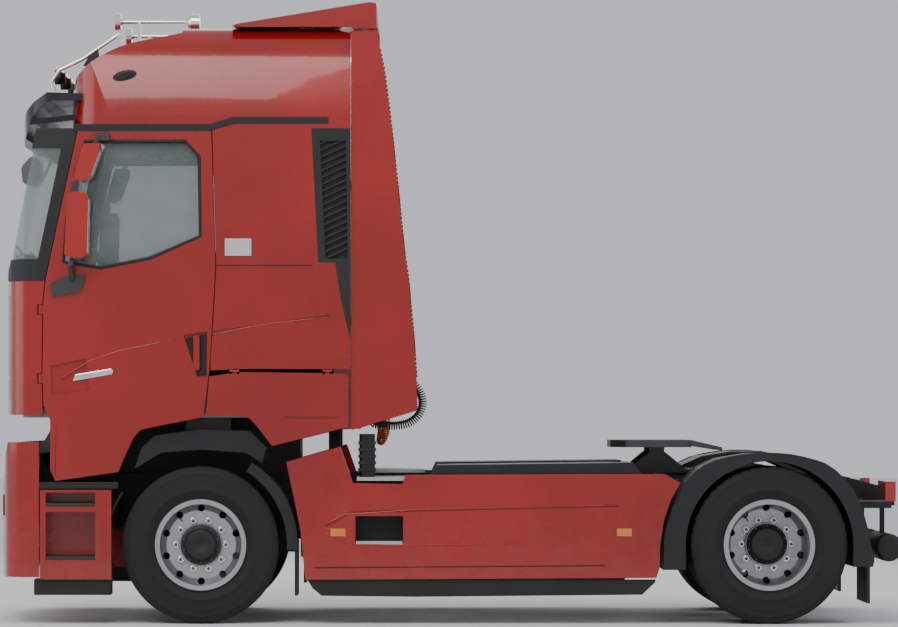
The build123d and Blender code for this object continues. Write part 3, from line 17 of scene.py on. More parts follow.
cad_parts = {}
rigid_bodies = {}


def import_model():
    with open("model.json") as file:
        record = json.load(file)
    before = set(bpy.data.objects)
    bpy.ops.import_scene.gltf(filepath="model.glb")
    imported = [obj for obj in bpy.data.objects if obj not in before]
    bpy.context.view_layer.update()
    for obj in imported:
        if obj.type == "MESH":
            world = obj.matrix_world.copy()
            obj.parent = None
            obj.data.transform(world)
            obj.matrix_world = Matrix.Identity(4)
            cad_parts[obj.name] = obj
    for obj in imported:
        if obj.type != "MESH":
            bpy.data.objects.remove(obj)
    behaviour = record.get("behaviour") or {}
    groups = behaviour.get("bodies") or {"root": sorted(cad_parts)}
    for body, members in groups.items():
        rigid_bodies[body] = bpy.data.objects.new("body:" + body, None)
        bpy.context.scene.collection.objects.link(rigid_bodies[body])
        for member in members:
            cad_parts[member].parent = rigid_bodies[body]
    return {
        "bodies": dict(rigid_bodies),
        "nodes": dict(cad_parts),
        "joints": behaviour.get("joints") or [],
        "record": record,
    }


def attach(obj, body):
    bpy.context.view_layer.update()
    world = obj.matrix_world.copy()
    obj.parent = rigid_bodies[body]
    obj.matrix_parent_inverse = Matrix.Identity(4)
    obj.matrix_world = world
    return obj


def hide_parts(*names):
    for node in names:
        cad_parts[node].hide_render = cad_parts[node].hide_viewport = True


log = logging.getLogger("tractor")

# ---- driving dimensions, metres ----
WHEELBASE = 3.80
FRONT_REACH = 1.41
REAR_REACH = 0.93
FRONT_AXLE_X = (FRONT_REACH + WHEELBASE + REAR_REACH) / 2 - FRONT_REACH
REAR_AXLE_X = FRONT_AXLE_X - WHEELBASE
AXLE_Z = 0.528
TYRE_R = 0.528
TYRE_WIDTH = 0.314
FRONT_TYRE_Y = 1.043
REAR_OUTER_Y = 1.085
REAR_INNER_Y = 0.740
FRONT_FACE_Y = 1.103
FRONT_CAP_FROM = 0.022
REAR_FACE_Y = 0.959
REAR_CAP_FROM = 0.046
BODY_HALF = 1.25

Colour = tuple[float, float, float]
Array = np.ndarray
Vector = Sequence[float]
Point = tuple[float, float, float]
Outline = tuple[tuple[float, float], ...]


class Side(Enum):
    """Side of the vehicle; its value is the sign of Y."""

    LEFT = 1
    RIGHT = -1

    @property
    def word(self) -> str:
        """Name used in node names."""
        return self.name.lower()


def ahead(distance: float) -> float:
    """X of a point given by its distance ahead of the front axle, in metres."""
    return FRONT_AXLE_X + distance


# ---- shader expressions ----
class Wire:
    """A socket in a node tree that takes part in Python arithmetic."""

    def __init__(self, graph: Graph, socket: NodeSocket) -> None:
        self.graph = graph
        self.socket = socket

    @staticmethod
    def _maths(operation: str) -> Callable[..., Wire]:
        """Method that makes one Math node of the Wire and the other values."""
        return lambda wire, *values: wire.graph.node(
            "Math", {"operation": operation}, dict(enumerate((wire, *values))))

    __add__ = __radd__ = _maths("ADD")
    __mul__ = __rmul__ = _maths("MULTIPLY")
    __sub__ = _maths("SUBTRACT")
    __abs__ = _maths("ABSOLUTE")
    __gt__ = _maths("GREATER_THAN")
    __lt__ = _maths("LESS_THAN")


class Graph:
    """A material's node tree with one method that adds any node."""

    def __init__(self, name: str) -> None:
        self.material = bpy.data.materials.new(name)
        self.material.use_nodes = True
        self.tree = self.material.node_tree
        self.shader = self.tree.nodes["Principled BSDF"]
        self._place: Wire | None = None

    def node(self, kind: str, settings: dict | None = None, inputs: dict | None = None,
             output: int | str = 0) -> Wire:
        """Add a node, set its properties, then feed its sockets.

        Args:
            kind: the node's type name, less its first words.
            settings: properties set before any socket; "stops" fills a colour ramp.
            inputs: socket index or name to a value or a Wire.
            output: which output comes back.

        Returns:
            The chosen output as a Wire.
        """
        made = self.tree.nodes.new("ShaderNode" + kind)
        for key, value in (settings or {}).items():
            if key == "stops":
                self._fill_ramp(made, value)
            else:
                setattr(made, key, value)
        for key, value in (inputs or {}).items():
            self._feed(made.inputs[key], value)
        return Wire(self, made.outputs[output])

    @staticmethod
    def _fill_ramp(made: Node, stops: Sequence[tuple[float, float]]) -> None:
        """Set a ramp's stops, each a position and a grey level."""
        ramp = made.color_ramp
        while len(ramp.elements) < len(stops):
            ramp.elements.new(0.5)
        for element, (position, level) in zip(ramp.elements, stops):
            element.position = position
            element.color = (level, level, level, 1.0)

    def _feed(self, socket: NodeSocket, value: Wire | float | Vector) -> None:
        """Link a Wire to a socket or set the socket's own value."""
        if isinstance(value, Wire):
            self.tree.links.new(value.socket, socket)
        else:
            socket.default_value = value

    def set(self, **values: Wire | float | Vector) -> None:
        """Feed the surface shader; underscores in the names stand for spaces."""
        for key, value in values.items():
            self._feed(self.shader.inputs[key.replace("_", " ")], value)

    def place(self) -> Wire:
        """Object coordinates."""
        if self._place is None:
            self._place = self.node("TexCoord", output="Object")
        return self._place

    def axis(self, letter: str) -> Wire:
        """One Object coordinate, X, Y or Z."""
        return self.node("SeparateXYZ", {}, {0: self.place()}, letter)

    def stretched(self, scale: Vector) -> Wire:
        """Object coordinates scaled along each axis."""
        return self.node("Mapping", {}, {0: self.place(), "Scale": scale})

    def noise(self, scale: float, detail: float = 2.0, vector: Wire | None = None) -> Wire:
        """Noise value between 0 and 1."""
        inputs = {"Vector": vector or self.place(), "Scale": scale, "Detail": detail}
        return self.node("TexNoise", {}, inputs, "Fac")

    def ramp(self, value: Wire, stops: Sequence[tuple[float, float]]) -> Wire:
        """Grey ramp of a value."""
        return self.node("ValToRGB", {"stops": stops}, {0: value})

    def patches(self, scale: float, detail: float, low: float, high: float) -> Wire:
        """Noise stretched so that it runs from 0 at the low value to 1 at the high one."""
        return self.ramp(self.noise(scale, detail), [(low, 0.0), (high, 1.0)])

    def blend(self, factor: Wire | float, first: Wire | Colour, second: Wire | Colour) -> Wire:
        """Colour between two colours."""
        def four(c: Wire | Colour) -> Wire | tuple:
            """Colour with its alpha."""
            return c if isinstance(c, Wire) else (*c, 1.0)
        return self.node("Mix", {"data_type": "RGBA"}, {0: factor, 6: four(first), 7: four(second)}, 2)

    def bump(self, height: Wire, distance: float, strength: float = 1.0) -> None:
        """Feed a height to the surface normal."""
        inputs = {"Height": height, "Distance": distance, "Strength": strength}
        self.set(Normal=self.node("Bump", {}, inputs, "Normal"))


# ---- finishes ----
ROAD_DUST: Colour = (0.19, 0.15, 0.13)


@dataclass(frozen=True)
class Finish:
    """A named look; each kind draws its own nodes."""

    name: str

    def draw(self, g: Graph) -> None:
        """Draw the look's nodes."""
        raise NotImplementedError

    def build(self) -> Material:
        """Make the material."""
        graph = Graph(self.name)
        self.draw(graph)
        return graph.material


@dataclass(frozen=True)
class Paint(Finish):
    """Gloss coachwork paint with a faint orange peel and road film low down."""

    colour: Colour
    deep: Colour
    roughness: float = 0.22
    metallic: float = 0.25
    coat: float = 1.0
    peel: float = 0.00012
    dust_share: float = 0.12
    haze: float = 0.06
    film_foot: float = 0.2
    film_top: float = 1.1

    def draw(self, g: Graph) -> None:
        """Draw the paint."""
        base = g.blend(g.patches(1.3, 3.0, low=0.35, high=0.68), self.deep, self.colour)
        span = (g.axis("Z"), self.film_foot, self.film_top, 1.0, 0.0)
        low = g.node("MapRange", {}, dict(enumerate(span)))
        dust = low * g.patches(9.0, 5.0, low=0.38, high=0.75) * self.dust_share
        g.set(Base_Color=g.blend(dust, base, ROAD_DUST))
        g.set(Roughness=g.noise(28.0, 4.0) * self.haze + dust * 0.5 + (self.roughness - self.haze / 2))
        g.set(Metallic=self.metallic, Coat_Weight=self.coat, Coat_Roughness=0.04, IOR=1.5)
        g.bump(g.noise(240.0, 1.0), self.peel)


@dataclass(frozen=True)
class Moulding(Finish):
    """Grained unpainted plastic with scuffs and patches of fade."""

    colour: Colour
    worn: Colour
    roughness: float = 0.52
    grain: float = 0.00035
    grain_scale: float = 420.0
    scuff_share: float = 0.35
    haze: float = 0.14

    def draw(self, g: Graph) -> None:
        """Draw the plastic."""
        fade = g.patches(3.2, 4.0, low=0.3, high=0.8)
        scuff = g.patches(60.0, 6.0, low=0.60, high=0.72) * self.scuff_share
        g.set(Base_Color=g.blend(scuff, g.blend(fade, self.colour, self.worn), self.worn))
        g.set(Roughness=fade * self.haze + scuff * 0.1 + (self.roughness - self.haze / 2))
        g.set(Specular_IOR_Level=0.42)
        cells = g.node("TexVoronoi", {}, {"Vector": g.place(), "Scale": self.grain_scale}, "Distance")
        g.bump(cells, self.grain, 0.6)


@dataclass(frozen=True)
class ChassisCoat(Finish):
    """Satin chassis paint over cast and pressed steel, dusty on its upper faces."""

    colour: Colour
    dust: Colour
    roughness: float = 0.5
    metallic: float = 0.3
    cast: float = 0.0006
    upper_dust: float = 0.45
    all_dust: float = 0.12

    def draw(self, g: Graph) -> None:
        """Draw the coat."""
        up = g.node("NewGeometry", output="Normal")
        lift = g.ramp(g.node("SeparateXYZ", {}, {0: up}, "Z"), [(0.2, 0.0), (0.95, 1.0)])
        patch = g.patches(7.0, 6.0, low=0.35, high=0.7)
        film = lift * patch * self.upper_dust + patch * self.all_dust
        g.set(Base_Color=g.blend(film, self.colour, self.dust))
        g.set(Roughness=film * 0.35 + self.roughness, Metallic=self.metallic)
        g.bump(g.noise(160.0, 3.0), self.cast)


@dataclass(frozen=True)
class BareMetal(Finish):
    """Brushed or polished bright metal."""

    colour: Colour
    roughness: float
    brushed: Point = (6.0, 400.0, 400.0)
    tooth: float = 0.00008
    smear: float = 0.12
    dulling: float = 0.72

    def draw(self, g: Graph) -> None:
        """Draw the metal."""
        lines = g.noise(1.0, 3.0, g.stretched(self.brushed))
        haze = g.patches(11.0, 5.0, low=0.35, high=0.75)
        darker = tuple(c * self.dulling for c in self.colour)
        g.set(Base_Color=g.blend(haze * 0.5, self.colour, darker), Metallic=1.0)
        g.set(Roughness=haze * self.smear + lines * 0.1 + self.roughness)
        g.bump(lines, self.tooth)


@dataclass(frozen=True)
class TyreRubber(Finish):
    """Tyre compound, greyer with road dust in patches."""

    colour: Colour = (0.010, 0.010, 0.011)
    dust: Colour = (0.042, 0.040, 0.037)
    roughness: float = 0.66
    texture: float = 0.0004

    def draw(self, g: Graph) -> None:
        """Draw the rubber."""
        patch = g.patches(16.0, 6.0, low=0.32, high=0.78)
        g.set(Base_Color=g.blend(patch * 0.25, self.colour, self.dust))
        g.set(Roughness=patch * 0.14 + self.roughness, Specular_IOR_Level=0.32)
        g.bump(g.noise(300.0, 3.0), self.texture)


@dataclass(frozen=True)
class Pane(Finish):
    """Tinted glass with a faint film."""

    tint: Colour
    alpha: float
    roughness: float = 0.03
    dust: Colour = (0.55, 0.57, 0.55)

    def draw(self, g: Graph) -> None:
        """Draw the glass: a thin, partly clear, glossy sheet."""
        film = g.patches(4.0, 4.0, low=0.4, high=0.8)
        g.set(Base_Color=g.blend(film * 0.15, self.tint, self.dust))
        g.set(Roughness=film * 0.05 + self.roughness, Alpha=film * 0.06 + self.alpha)
        g.set(Specular_IOR_Level=0.8, Coat_Weight=0.6, Coat_Roughness=0.02)
        g.material.surface_render_method = "BLENDED"


@dataclass(frozen=True)
class Zone:
    """Box of a piece that looks unlike the rest of it; Y is the distance from the middle plane."""

    low: Point
    high: Point
    colour: Colour
    roughness: float = 0.3
    metallic: float = 0.0

    def mask(self, g: Graph) -> Wire:
        """One inside the box and nought outside it."""
        inside = None
        for letter, low, high in zip("XYZ", self.low, self.high):
            value = abs(g.axis(letter)) if letter == "Y" else g.axis(letter)
            both = (value > low) * (value < high)
            inside = both if inside is None else inside * both
        return inside


@dataclass(frozen=True)
class Zoned(Finish):
    """One piece moulded in one colour with boxes of other looks."""

    colour: Colour
    roughness: float
    zones: tuple[Zone, ...]
    metallic: float = 0.0
    coat: float = 0.6

    def draw(self, g: Graph) -> None:
        """Draw the piece and its zones."""
        base: Wire | Colour = self.colour
        rough: Wire | float = self.roughness
        metal: Wire | float = self.metallic
        for zone in self.zones:
            mask = zone.mask(g)
            base = g.blend(mask, base, zone.colour)
            rough = mask * (zone.roughness - self.roughness) + rough
            metal = mask * (zone.metallic - self.metallic) + metal
        g.set(Base_Color=base, Roughness=g.noise(24.0, 3.0) * 0.05 + rough, Metallic=metal)
        g.set(Coat_Weight=self.coat, Coat_Roughness=0.05)
        g.bump(g.noise(180.0, 2.0), 0.0001)


@dataclass(frozen=True)
class Lens(Finish):
    """Lamp lens with moulded flutes, their troughs painted darker as shade."""

    colour: Colour
    flutes: float = 90.0
    depth: float = 0.0012
    shade: float = 0.45

    def draw(self, g: Graph) -> None:
        """Draw the lens."""
        wave = g.node("TexWave", {"wave_type": "BANDS", "bands_direction": "X"},
                      {"Vector": g.place(), "Scale": self.flutes}, "Fac")
        # painted shade: the lens colour is darkened along the flutes' troughs
        dark = tuple(c * self.shade for c in self.colour)
        g.set(Base_Color=g.blend(g.ramp(wave, [(0.2, 0.0), (0.9, 1.0)]), dark, self.colour))
        g.set(Roughness=g.noise(20.0) * 0.06 + 0.06, Coat_Weight=1.0, Coat_Roughness=0.03)
        g.bump(wave, self.depth, 0.5)


@dataclass(frozen=True)
class Cloth(Finish):
    """Woven seat cloth."""

    warp: Colour
    weft: Colour
    thread: float = 0.0022
    relief: float = 0.0006
    roughness: float = 0.86

    def draw(self, g: Graph) -> None:
        """Draw the cloth: crossing sine threads on Object coordinates."""
        turn = 2 * math.pi / self.thread
        first = g.node("Math", {"operation": "SINE"}, {0: (g.axis("X") + g.axis("Z")) * turn})
        second = g.node("Math", {"operation": "SINE"}, {0: (g.axis("Y") - g.axis("Z")) * turn})
        weave = first * second * 0.5 + 0.5
        wear = g.patches(6.0, 4.0, low=0.3, high=0.8)
        g.set(Base_Color=g.blend(weave, self.warp, self.weft), Roughness=wear * 0.08 + self.roughness)
        g.set(Sheen_Weight=0.3)
        g.bump(weave, self.relief)


# ---- surfaces ----
def make_mesh(name: str, points: Array, faces: Array, smooth: bool = True) -> Object:
    """Object from vertices and faces that all have the same number of corners.

    Args:
        name: piece name.
        points: (n, 3) vertices in metres in the row frame.
        faces: (m, k) vertex indices.
        smooth: whether the faces are shaded smooth.

    Returns:
        The linked object, at the origin.
    """
    mesh = bpy.data.meshes.new(name)
    corners = np.asarray(faces, dtype=np.int32).ravel()
    starts = np.arange(0, faces.size, faces.shape[1], dtype=np.int32)
    mesh.vertices.add(len(points))
    mesh.vertices.foreach_set("co", np.ascontiguousarray(points, dtype=np.float32).ravel())
    mesh.loops.add(len(corners))
    mesh.loops.foreach_set("vertex_index", corners)
    mesh.polygons.add(len(starts))
    mesh.polygons.foreach_set("loop_start", starts)
    mesh.polygons.foreach_set("use_smooth", np.full(len(starts), smooth))
    mesh.update(calc_edges=True)
    mesh.validate()
    return link(name, mesh)


def link(name: str, data: ID) -> Object:
    """New object at the origin carrying the data."""
    made = bpy.data.objects.new(name, data)
    bpy.context.scene.collection.objects.link(made)
    return made


def grid_faces(rows: int, columns: int, wrap_rows: bool = False, wrap_columns: bool = False) -> Array:
    """Quads of a grid of vertices numbered row by row, closed on itself where asked.

    They face outwards where the rows advance along an axis and the columns turn right-handed about it.
    """
    i = np.arange(rows if wrap_rows else rows - 1)
    j = np.arange(columns if wrap_columns else columns - 1)
    i, j = (a.ravel() for a in np.meshgrid(i, j, indexing="ij"))
    following, beside = (i + 1) % rows, (j + 1) % columns
    here, there = i * columns, following * columns
    return np.stack([here + j, here + beside, there + beside, there + j], 1)


def surface(name: str, grid: Array, wrap: tuple[bool, bool], flip: bool = False) -> Object:
    """Smooth object from a grid of points of shape (rows, columns, 3)."""
    rows, columns, _ = grid.shape
    faces = grid_faces(rows, columns, *wrap)
    return make_mesh(name, grid.reshape(-1, 3), faces[:, ::-1] if flip else faces)


def prism(name: str, loop: Sequence[Vector], low: float, high: float) -> Object:
    """Solid of a flat outline swept sideways.

    Args:
        name: piece name.
        loop: outline of (x, z) points, either way round.
        low: Y of the right-hand end.
        high: Y of the left-hand end.

    Returns:
        A closed solid with outward faces.
    """
    flat = np.asarray(loop, dtype=float)
    turn = flat[:, 0] * np.roll(flat[:, 1], -1) - np.roll(flat[:, 0], -1) * flat[:, 1]
    if turn.sum() > 0:
        flat = flat[::-1]
    count = len(flat)
    ends = [np.column_stack([flat[:, 0], np.full(count, level), flat[:, 1]]) for level in (low, high)]
    ring = np.arange(count)
    beside = (ring + 1) % count
    walls = np.stack([ring, beside, beside + count, ring + count], 1)
    mesh = bpy.data.meshes.new(name)
    faces = [*walls.tolist(), ring[::-1].tolist(), (ring + count).tolist()]
    mesh.from_pydata(np.vstack(ends).tolist(), [], faces)
    mesh.update()
    return link(name, mesh)


def brick(name: str, low: Vector, high: Vector) -> Object:
    """Box between two corners."""
    corners = [(low[0], low[2]), (high[0], low[2]), (high[0], high[2]), (low[0], high[2])]
    return prism(name, corners, low[1], high[1])


def frame_of(direction: Vector) -> tuple[Array, Array, Array]:
    """Unit direction and two unit vectors across it, right-handed."""
    along = np.asarray(direction, dtype=float)
    along = along / np.linalg.norm(along)
    helper = np.array([0.0, 0.0, 1.0]) if abs(along[2]) < 0.9 else np.array([1.0, 0.0, 0.0])
    across = np.cross(helper, along)
    across /= np.linalg.norm(across)
    return along, across, np.cross(along, across)


def lathe(name: str, profile: Sequence[tuple[float, float]], centre: Vector,
          direction: Vector, segments: int = 64) -> Object:
    """Profile of (radius, distance along the axis) turned round an axis.

    A point lies at centre + direction * distance + radius * (across cos t + up sin t).
    """
    along, across, up = frame_of(direction)
    flat = np.asarray(profile, dtype=float)
    t = np.linspace(0, 2 * np.pi, segments, endpoint=False)
    ring = np.cos(t)[:, None] * across + np.sin(t)[:, None] * up
    grid = np.asarray(centre) + flat[:, 1][:, None, None] * along + flat[:, 0][:, None, None] * ring[None]
    return surface(name, grid, (False, True))


def distances(line: Array) -> Array:
    """Length along a line up to each of its points."""
    return np.concatenate([[0], np.cumsum(np.linalg.norm(np.diff(line, axis=0), axis=1))])


def resampled(line: Array, run: Array, at: Array) -> Array:
    """Points at the given lengths along a line whose points lie at the lengths run."""
    return np.stack([np.interp(at, run, line[:, k]) for k in range(3)], 1)


def carried(tangent: Array) -> tuple[Array, Array]:
    """Unit vectors across a line at each of its points, turned with it so that they never twist."""
    normal = [frame_of(tangent[0])[1]]
    for step in tangent[1:]:
        across = normal[-1] - step * (normal[-1] @ step)
        normal.append(across / np.linalg.norm(across))
    return np.array(normal), np.cross(tangent, np.array(normal))


def tube(name: str, path: Sequence[Vector], radius: float, sides: int = 12, closed: bool = False,
         rounds: int = 0) -> Object:
    """Round bar that follows a path, its ring turned with the path so that it never twists.

    Args:
        name: piece name.
        path: points in metres.
        radius: half the bar's diameter.
        sides: faces round it.
        closed: whether the path's end meets its start.
        rounds: how many times the path's corners are cut to soften them.

    Returns:
        The bar, capped where it's open.
    """
    line = np.asarray(path, dtype=float)
    for _ in range(rounds):
        line = soften(line, closed)
    tangent = np.roll(line, -1, 0) - np.roll(line, 1, 0)
    if not closed:
        tangent[0], tangent[-1] = line[1] - line[0], line[-1] - line[-2]
    tangent /= np.linalg.norm(tangent, axis=1)[:, None]
    normal, side = carried(tangent)
    t = np.linspace(0, 2 * np.pi, sides, endpoint=False)
    t = t[None, :, None]
    grid = line[:, None] + radius * (np.cos(t) * normal[:, None] + np.sin(t) * side[:, None])
    if not closed:
        first = np.repeat(line[:1, None], sides, 1)
        last = np.repeat(line[-1:, None], sides, 1)
        grid = np.concatenate([first, grid, last])
    return surface(name, grid, (closed, True))


def soften(line: Array, closed: bool = False) -> Array:
    """Cut each corner of a path at a quarter of its sides."""
    following = np.roll(line, -1, 0) if closed else line[1:]
    here = line if closed else line[:-1]
    cut = np.stack([here * 0.75 + following * 0.25, here * 0.25 + following * 0.75], 1).reshape(-1, 3)
    return cut if closed else np.vstack([line[:1], cut, line[-1:]])


def pattern(name: str, points: Array, faces: Array, shifts: Array) -> Object:
    """Copies of one small shape, each with its own (4, 4) placing, in a single object."""
    wide = np.column_stack([points, np.ones(len(points))])
    placed = np.einsum("kij,nj->kni", shifts, wide)[:, :, :3]
    numbers = faces[None] + (np.arange(len(shifts)) * len(points))[:, None, None]
    return make_mesh(name, placed.reshape(-1, 3), numbers.reshape(-1, faces.shape[1]), False)


def unit_box() -> tuple[Array, Array]:
    """Vertices and outward faces of a box from -0.5 to 0.5."""
    p = np.array([[x, y, z] for x in (-0.5, 0.5) for y in (-0.5, 0.5) for z in (-0.5, 0.5)])
    f = np.array([[0, 1, 3, 2], [4, 6, 7, 5], [0, 4, 5, 1], [2, 3, 7, 6], [0, 2, 6, 4], [1, 5, 7, 3]])
    return p, f


def bolt_shape(radius: float, height: float, washer: float = 1.35, sides: int = 6) -> tuple[Array, Array]:
    """Hexagon head on a round washer, standing on z = 0, as stacked rings of points."""
    count = 12
    t = np.arange(count) * 2 * np.pi / count
    head = radius / np.cos((t + np.pi / sides) % (2 * np.pi / sides) - np.pi / sides)
    base = np.full(count, radius * washer)
    rings = [(base, 0.0), (base, 0.18), (head, 0.18), (head, 0.86), (head * 0.86, 1.0), (head * 0, 1.0)]
    points = [np.column_stack([r * np.cos(t), r * np.sin(t), np.full(count, h * height)])
              for r, h in rings]
    return np.vstack(points), grid_faces(len(rings), count, False, True)


def placing(origin: Vector, direction: Vector) -> Array:
    """(4, 4) matrix that takes +Z to a direction at an origin."""
    along, across, up = frame_of(direction)
    matrix = np.eye(4)
    matrix[:3] = np.column_stack([across, up, along, origin])
    return matrix


def bolts(name: str, spots: Iterable[Vector], direction: Vector, radius: float = 0.009,
          height: float = 0.007) -> Object:
    """Hexagon heads at several spots, all facing the same way."""
    points, faces = bolt_shape(radius, height)
    return pattern(name, points, faces, np.array([placing(s, direction) for s in spots]))


def bevelled(obj: Object, width: float) -> Object:
    """Round an object's sharp edges."""
    modifier = obj.modifiers.new("edge", "BEVEL")
    modifier.width, modifier.segments, modifier.limit_method = width, 2, "ANGLE"
    return obj


def thick(obj: Object, depth: float) -> Object:
    """Give a sheet its thickness, inwards."""
    modifier = obj.modifiers.new("wall", "SOLIDIFY")
    modifier.thickness, modifier.offset = depth, -1.0
    return obj


def joined(name: str, parts: Sequence[Object]) -> Object:
    """One object from several meshes without modifiers that share a finish."""
    bpy.ops.object.select_all(action="DESELECT")
    for part in parts:
        part.select_set(True)
    bpy.context.view_layer.objects.active = parts[0]
    bpy.ops.object.join()
    parts[0].name = name
    parts[0].data.name = name
    return parts[0]


def mirrored(name: str, source: Object) -> Object:
    """The piece's mirror image across the middle plane, with its rounded edges."""
    mesh = source.data.copy()
    mesh.name = name
    points = np.empty(len(mesh.vertices) * 3, dtype=np.float32)
    mesh.vertices.foreach_get("co", points)
    points[1::3] *= -1
    mesh.vertices.foreach_set("co", points)
    mesh.flip_normals()
    made = link(name, mesh)
    for modifier in source.modifiers:
        bevelled(made, modifier.width)
    return made


class Tractor:
    """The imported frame, the finishes made so far and the ways to add a piece to it."""

    def __init__(self) -> None:
        self.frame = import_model()
        self._made: dict[str, Material] = {}
        self.count = 0

    def finish(self, finish: Finish) -> Material:
        """The finish's material, built on first use."""
        if finish.name not in self._made:
            self._made[finish.name] = finish.build()
        return self._made[finish.name]

    def paint_node(self, node: str, finish: Finish) -> None:
        """Put a finish on a CAD node."""
        material = self.finish(finish)
        data = self.frame["nodes"][node].data
        for index in range(len(data.materials)):
            data.materials[index] = material

    def add(self, piece: Object, body: str, finish: Finish, replaces: Sequence[str] = ()) -> None:
        """Finish a new piece and hang it on a body.

        Args:
            piece: the object, in place at rest.
            body: the body it moves with.
            finish: what it looks like.
            replaces: CAD nodes that it stands for.
        """
        piece.data.materials.clear()
        piece.data.materials.append(self.finish(finish))
        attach(piece, body)
        if replaces:
            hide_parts(*replaces)
        self.count += 1

    def add_pair(self, piece: Object, bodies: tuple[str, str], finish: Finish) -> None:
        """Add a left-hand piece and its mirror image, named by their sides."""
        name = piece.name
        other = mirrored(name + "_right", piece)
        piece.name = piece.data.name = name + "_left"
        self.add(piece, bodies[0], finish)
        self.add(other, bodies[1], finish)


class Assembly(Protocol):
    """Group of pieces that builds itself on the tractor."""

    def build(self, tractor: Tractor) -> None:
        """Make the pieces and hang them on their bodies."""


Pieces = Iterator[tuple[Object, Finish]]

# The numbers after the name are, in order:
#   Paint: colour, deep colour, roughness, metallic, coat
#   Moulding: colour, worn colour, roughness, grain height, grain scale
#   ChassisCoat: colour, dust colour, roughness, metallic, height of the cast grain
#   BareMetal: colour, roughness, scale of the brushing along each axis, its height, smear
#   Pane: tint, opacity
#   Zoned: colour, roughness, zones, metallic, coat
#   Zone: low corner, high corner, colour, roughness, metallic
#   Cloth: colour of the warp, colour of the weft
RED = Paint("painted_metal.red", (0.33, 0.005, 0.002), (0.25, 0.003, 0.001), 0.27, 0.10, 0.60)
SMOKE = Moulding("gloss_plastic.smoke", (0.007, 0.007, 0.008), (0.014, 0.014, 0.015), 0.20, 0.00008)
DARK = Moulding("matte_plastic.dark", (0.006, 0.0065, 0.007), (0.014, 0.0145, 0.015), 0.55)
GREY = Moulding("matte_plastic.grey", (0.085, 0.088, 0.092), (0.14, 0.14, 0.145), 0.42, 0.0002)
CHASSIS = ChassisCoat("painted_metal.chassis", (0.010, 0.0105, 0.011), (0.04, 0.037, 0.034))
CAST = ChassisCoat("cast_iron.dark", (0.045, 0.045, 0.046), (0.15, 0.13, 0.115), 0.58, 0.5, 0.0011)
ALUMINIUM = BareMetal("aluminium.brushed", (0.66, 0.67, 0.68), 0.26)
RIM = BareMetal("aluminium.rim", (0.40, 0.41, 0.42), 0.30, (60.0, 4.0, 60.0), 0.00005)
TANK = BareMetal("aluminium.tank", (0.52, 0.54, 0.56), 0.28, (300.0, 8.0, 300.0))
CHROME = BareMetal("chrome.polished", (0.86, 0.87, 0.88), 0.05, (20.0, 20.0, 20.0), 0.00002, 0.06)
STEEL = BareMetal("brushed_steel.worn", (0.11, 0.11, 0.112), 0.38, (12.0, 260.0, 260.0), 0.0001, 0.22)
TYRE = TyreRubber("tyre.road")
RUBBER = Moulding("rubber.seal", (0.005, 0.005, 0.006), (0.012, 0.012, 0.013), 0.6, 0.0001)
SCREEN = Pane("glass.screen", (0.20, 0.25, 0.24), 0.34)
SIDE_GLASS = Pane("glass.side", (0.17, 0.22, 0.21), 0.36)
SILVERED = BareMetal("mirror.silvered", (0.80, 0.83, 0.84), 0.02, (3.0, 3.0, 3.0), 0.0, 0.02)
LAMP_SET = Zoned("gloss_plastic.lamp_set", (0.30, 0.31, 0.32), 0.12, (
    Zone((-1.40, 1.10, 0.50), (1.20, 1.40, 0.70), (0.62, 0.19, 0.012), 0.10),
    Zone((-4.00, 0.0, 0.0), (-2.40, 1.40, 1.20), (0.34, 0.006, 0.008), 0.14)), 0.1, 1.0)
MIRROR_SHELL = Zoned("gloss_plastic.mirror_shell", (0.014, 0.015, 0.016), 0.42, (
    Zone((2.20, 1.285, 2.44), (2.60, 1.60, 2.88), (0.33, 0.005, 0.002), 0.24),
    Zone((2.20, 1.285, 2.95), (2.60, 1.60, 3.20), (0.33, 0.005, 0.002), 0.24)))
TREADS = Zoned("aluminium.treads", (0.50, 0.51, 0.52), 0.30, (
    Zone((2.20, 0.90, 0.30), (3.00, 1.40, 0.90), (0.016, 0.017, 0.018), 0.55, 0.0),), 0.9, 0.0)
WHITE_LENS = Lens("gloss_plastic.white", (0.62, 0.63, 0.62))
CLOTH = Cloth("fabric.seat", (0.045, 0.047, 0.055), (0.11, 0.11, 0.125))
BEDDING = Cloth("fabric.bunk", (0.15, 0.155, 0.17), (0.24, 0.24, 0.26))
BLACK_LINE = Moulding("rubber.black_line", (0.013, 0.013, 0.014), (0.04, 0.04, 0.04), 0.34, 0.0001)
ORANGE_LINE = Moulding("rubber.orange_line", (0.52, 0.12, 0.012), (0.42, 0.13, 0.035), 0.34, 0.0001)
LINER = Moulding("matte_plastic.liner", (0.19, 0.185, 0.175), (0.25, 0.245, 0.235), 0.6, 0.0003)

NODE_FINISHES: dict[Finish, str] = {
    RED: "cab_sides cab_rear_wall front_panels cab_roof roof_deflector side_deflectors front_bumper"
         " front_hatch side_skirts door_* locker_door_* cab_steps",
    DARK: "side_vents arch_extensions front_mudguards rear_mudguards deck_cover lower_skirts exhaust_box"
          " intake_pipe dashboard screen_frame air_tanks",
    MIRROR_SHELL: "door_mirror_*",
    SMOKE: "sun_visor",
    GREY: "front_mirror",
    LINER: "cab_floor",
    CHASSIS: "frame cab_mounts fifth_wheel_base",
    CAST: "engine_block front_axle rear_axle knuckle_*",
    STEEL: "fifth_wheel_plate",
    TANK: "fuel_tank",
    CHROME: "roof_rail horns",
    RIM: "front_rim_* rear_rims_*",
    TYRE: "front_tyre_* rear_tyres_*",
    TREADS: "tread_plates",
    SCREEN: "windscreen",
    SIDE_GLASS: "door_glass_*",
    LAMP_SET: "lamps",
    CLOTH: "seats",
    BLACK_LINE: "black_coil",
    ORANGE_LINE: "orange_coil",
}


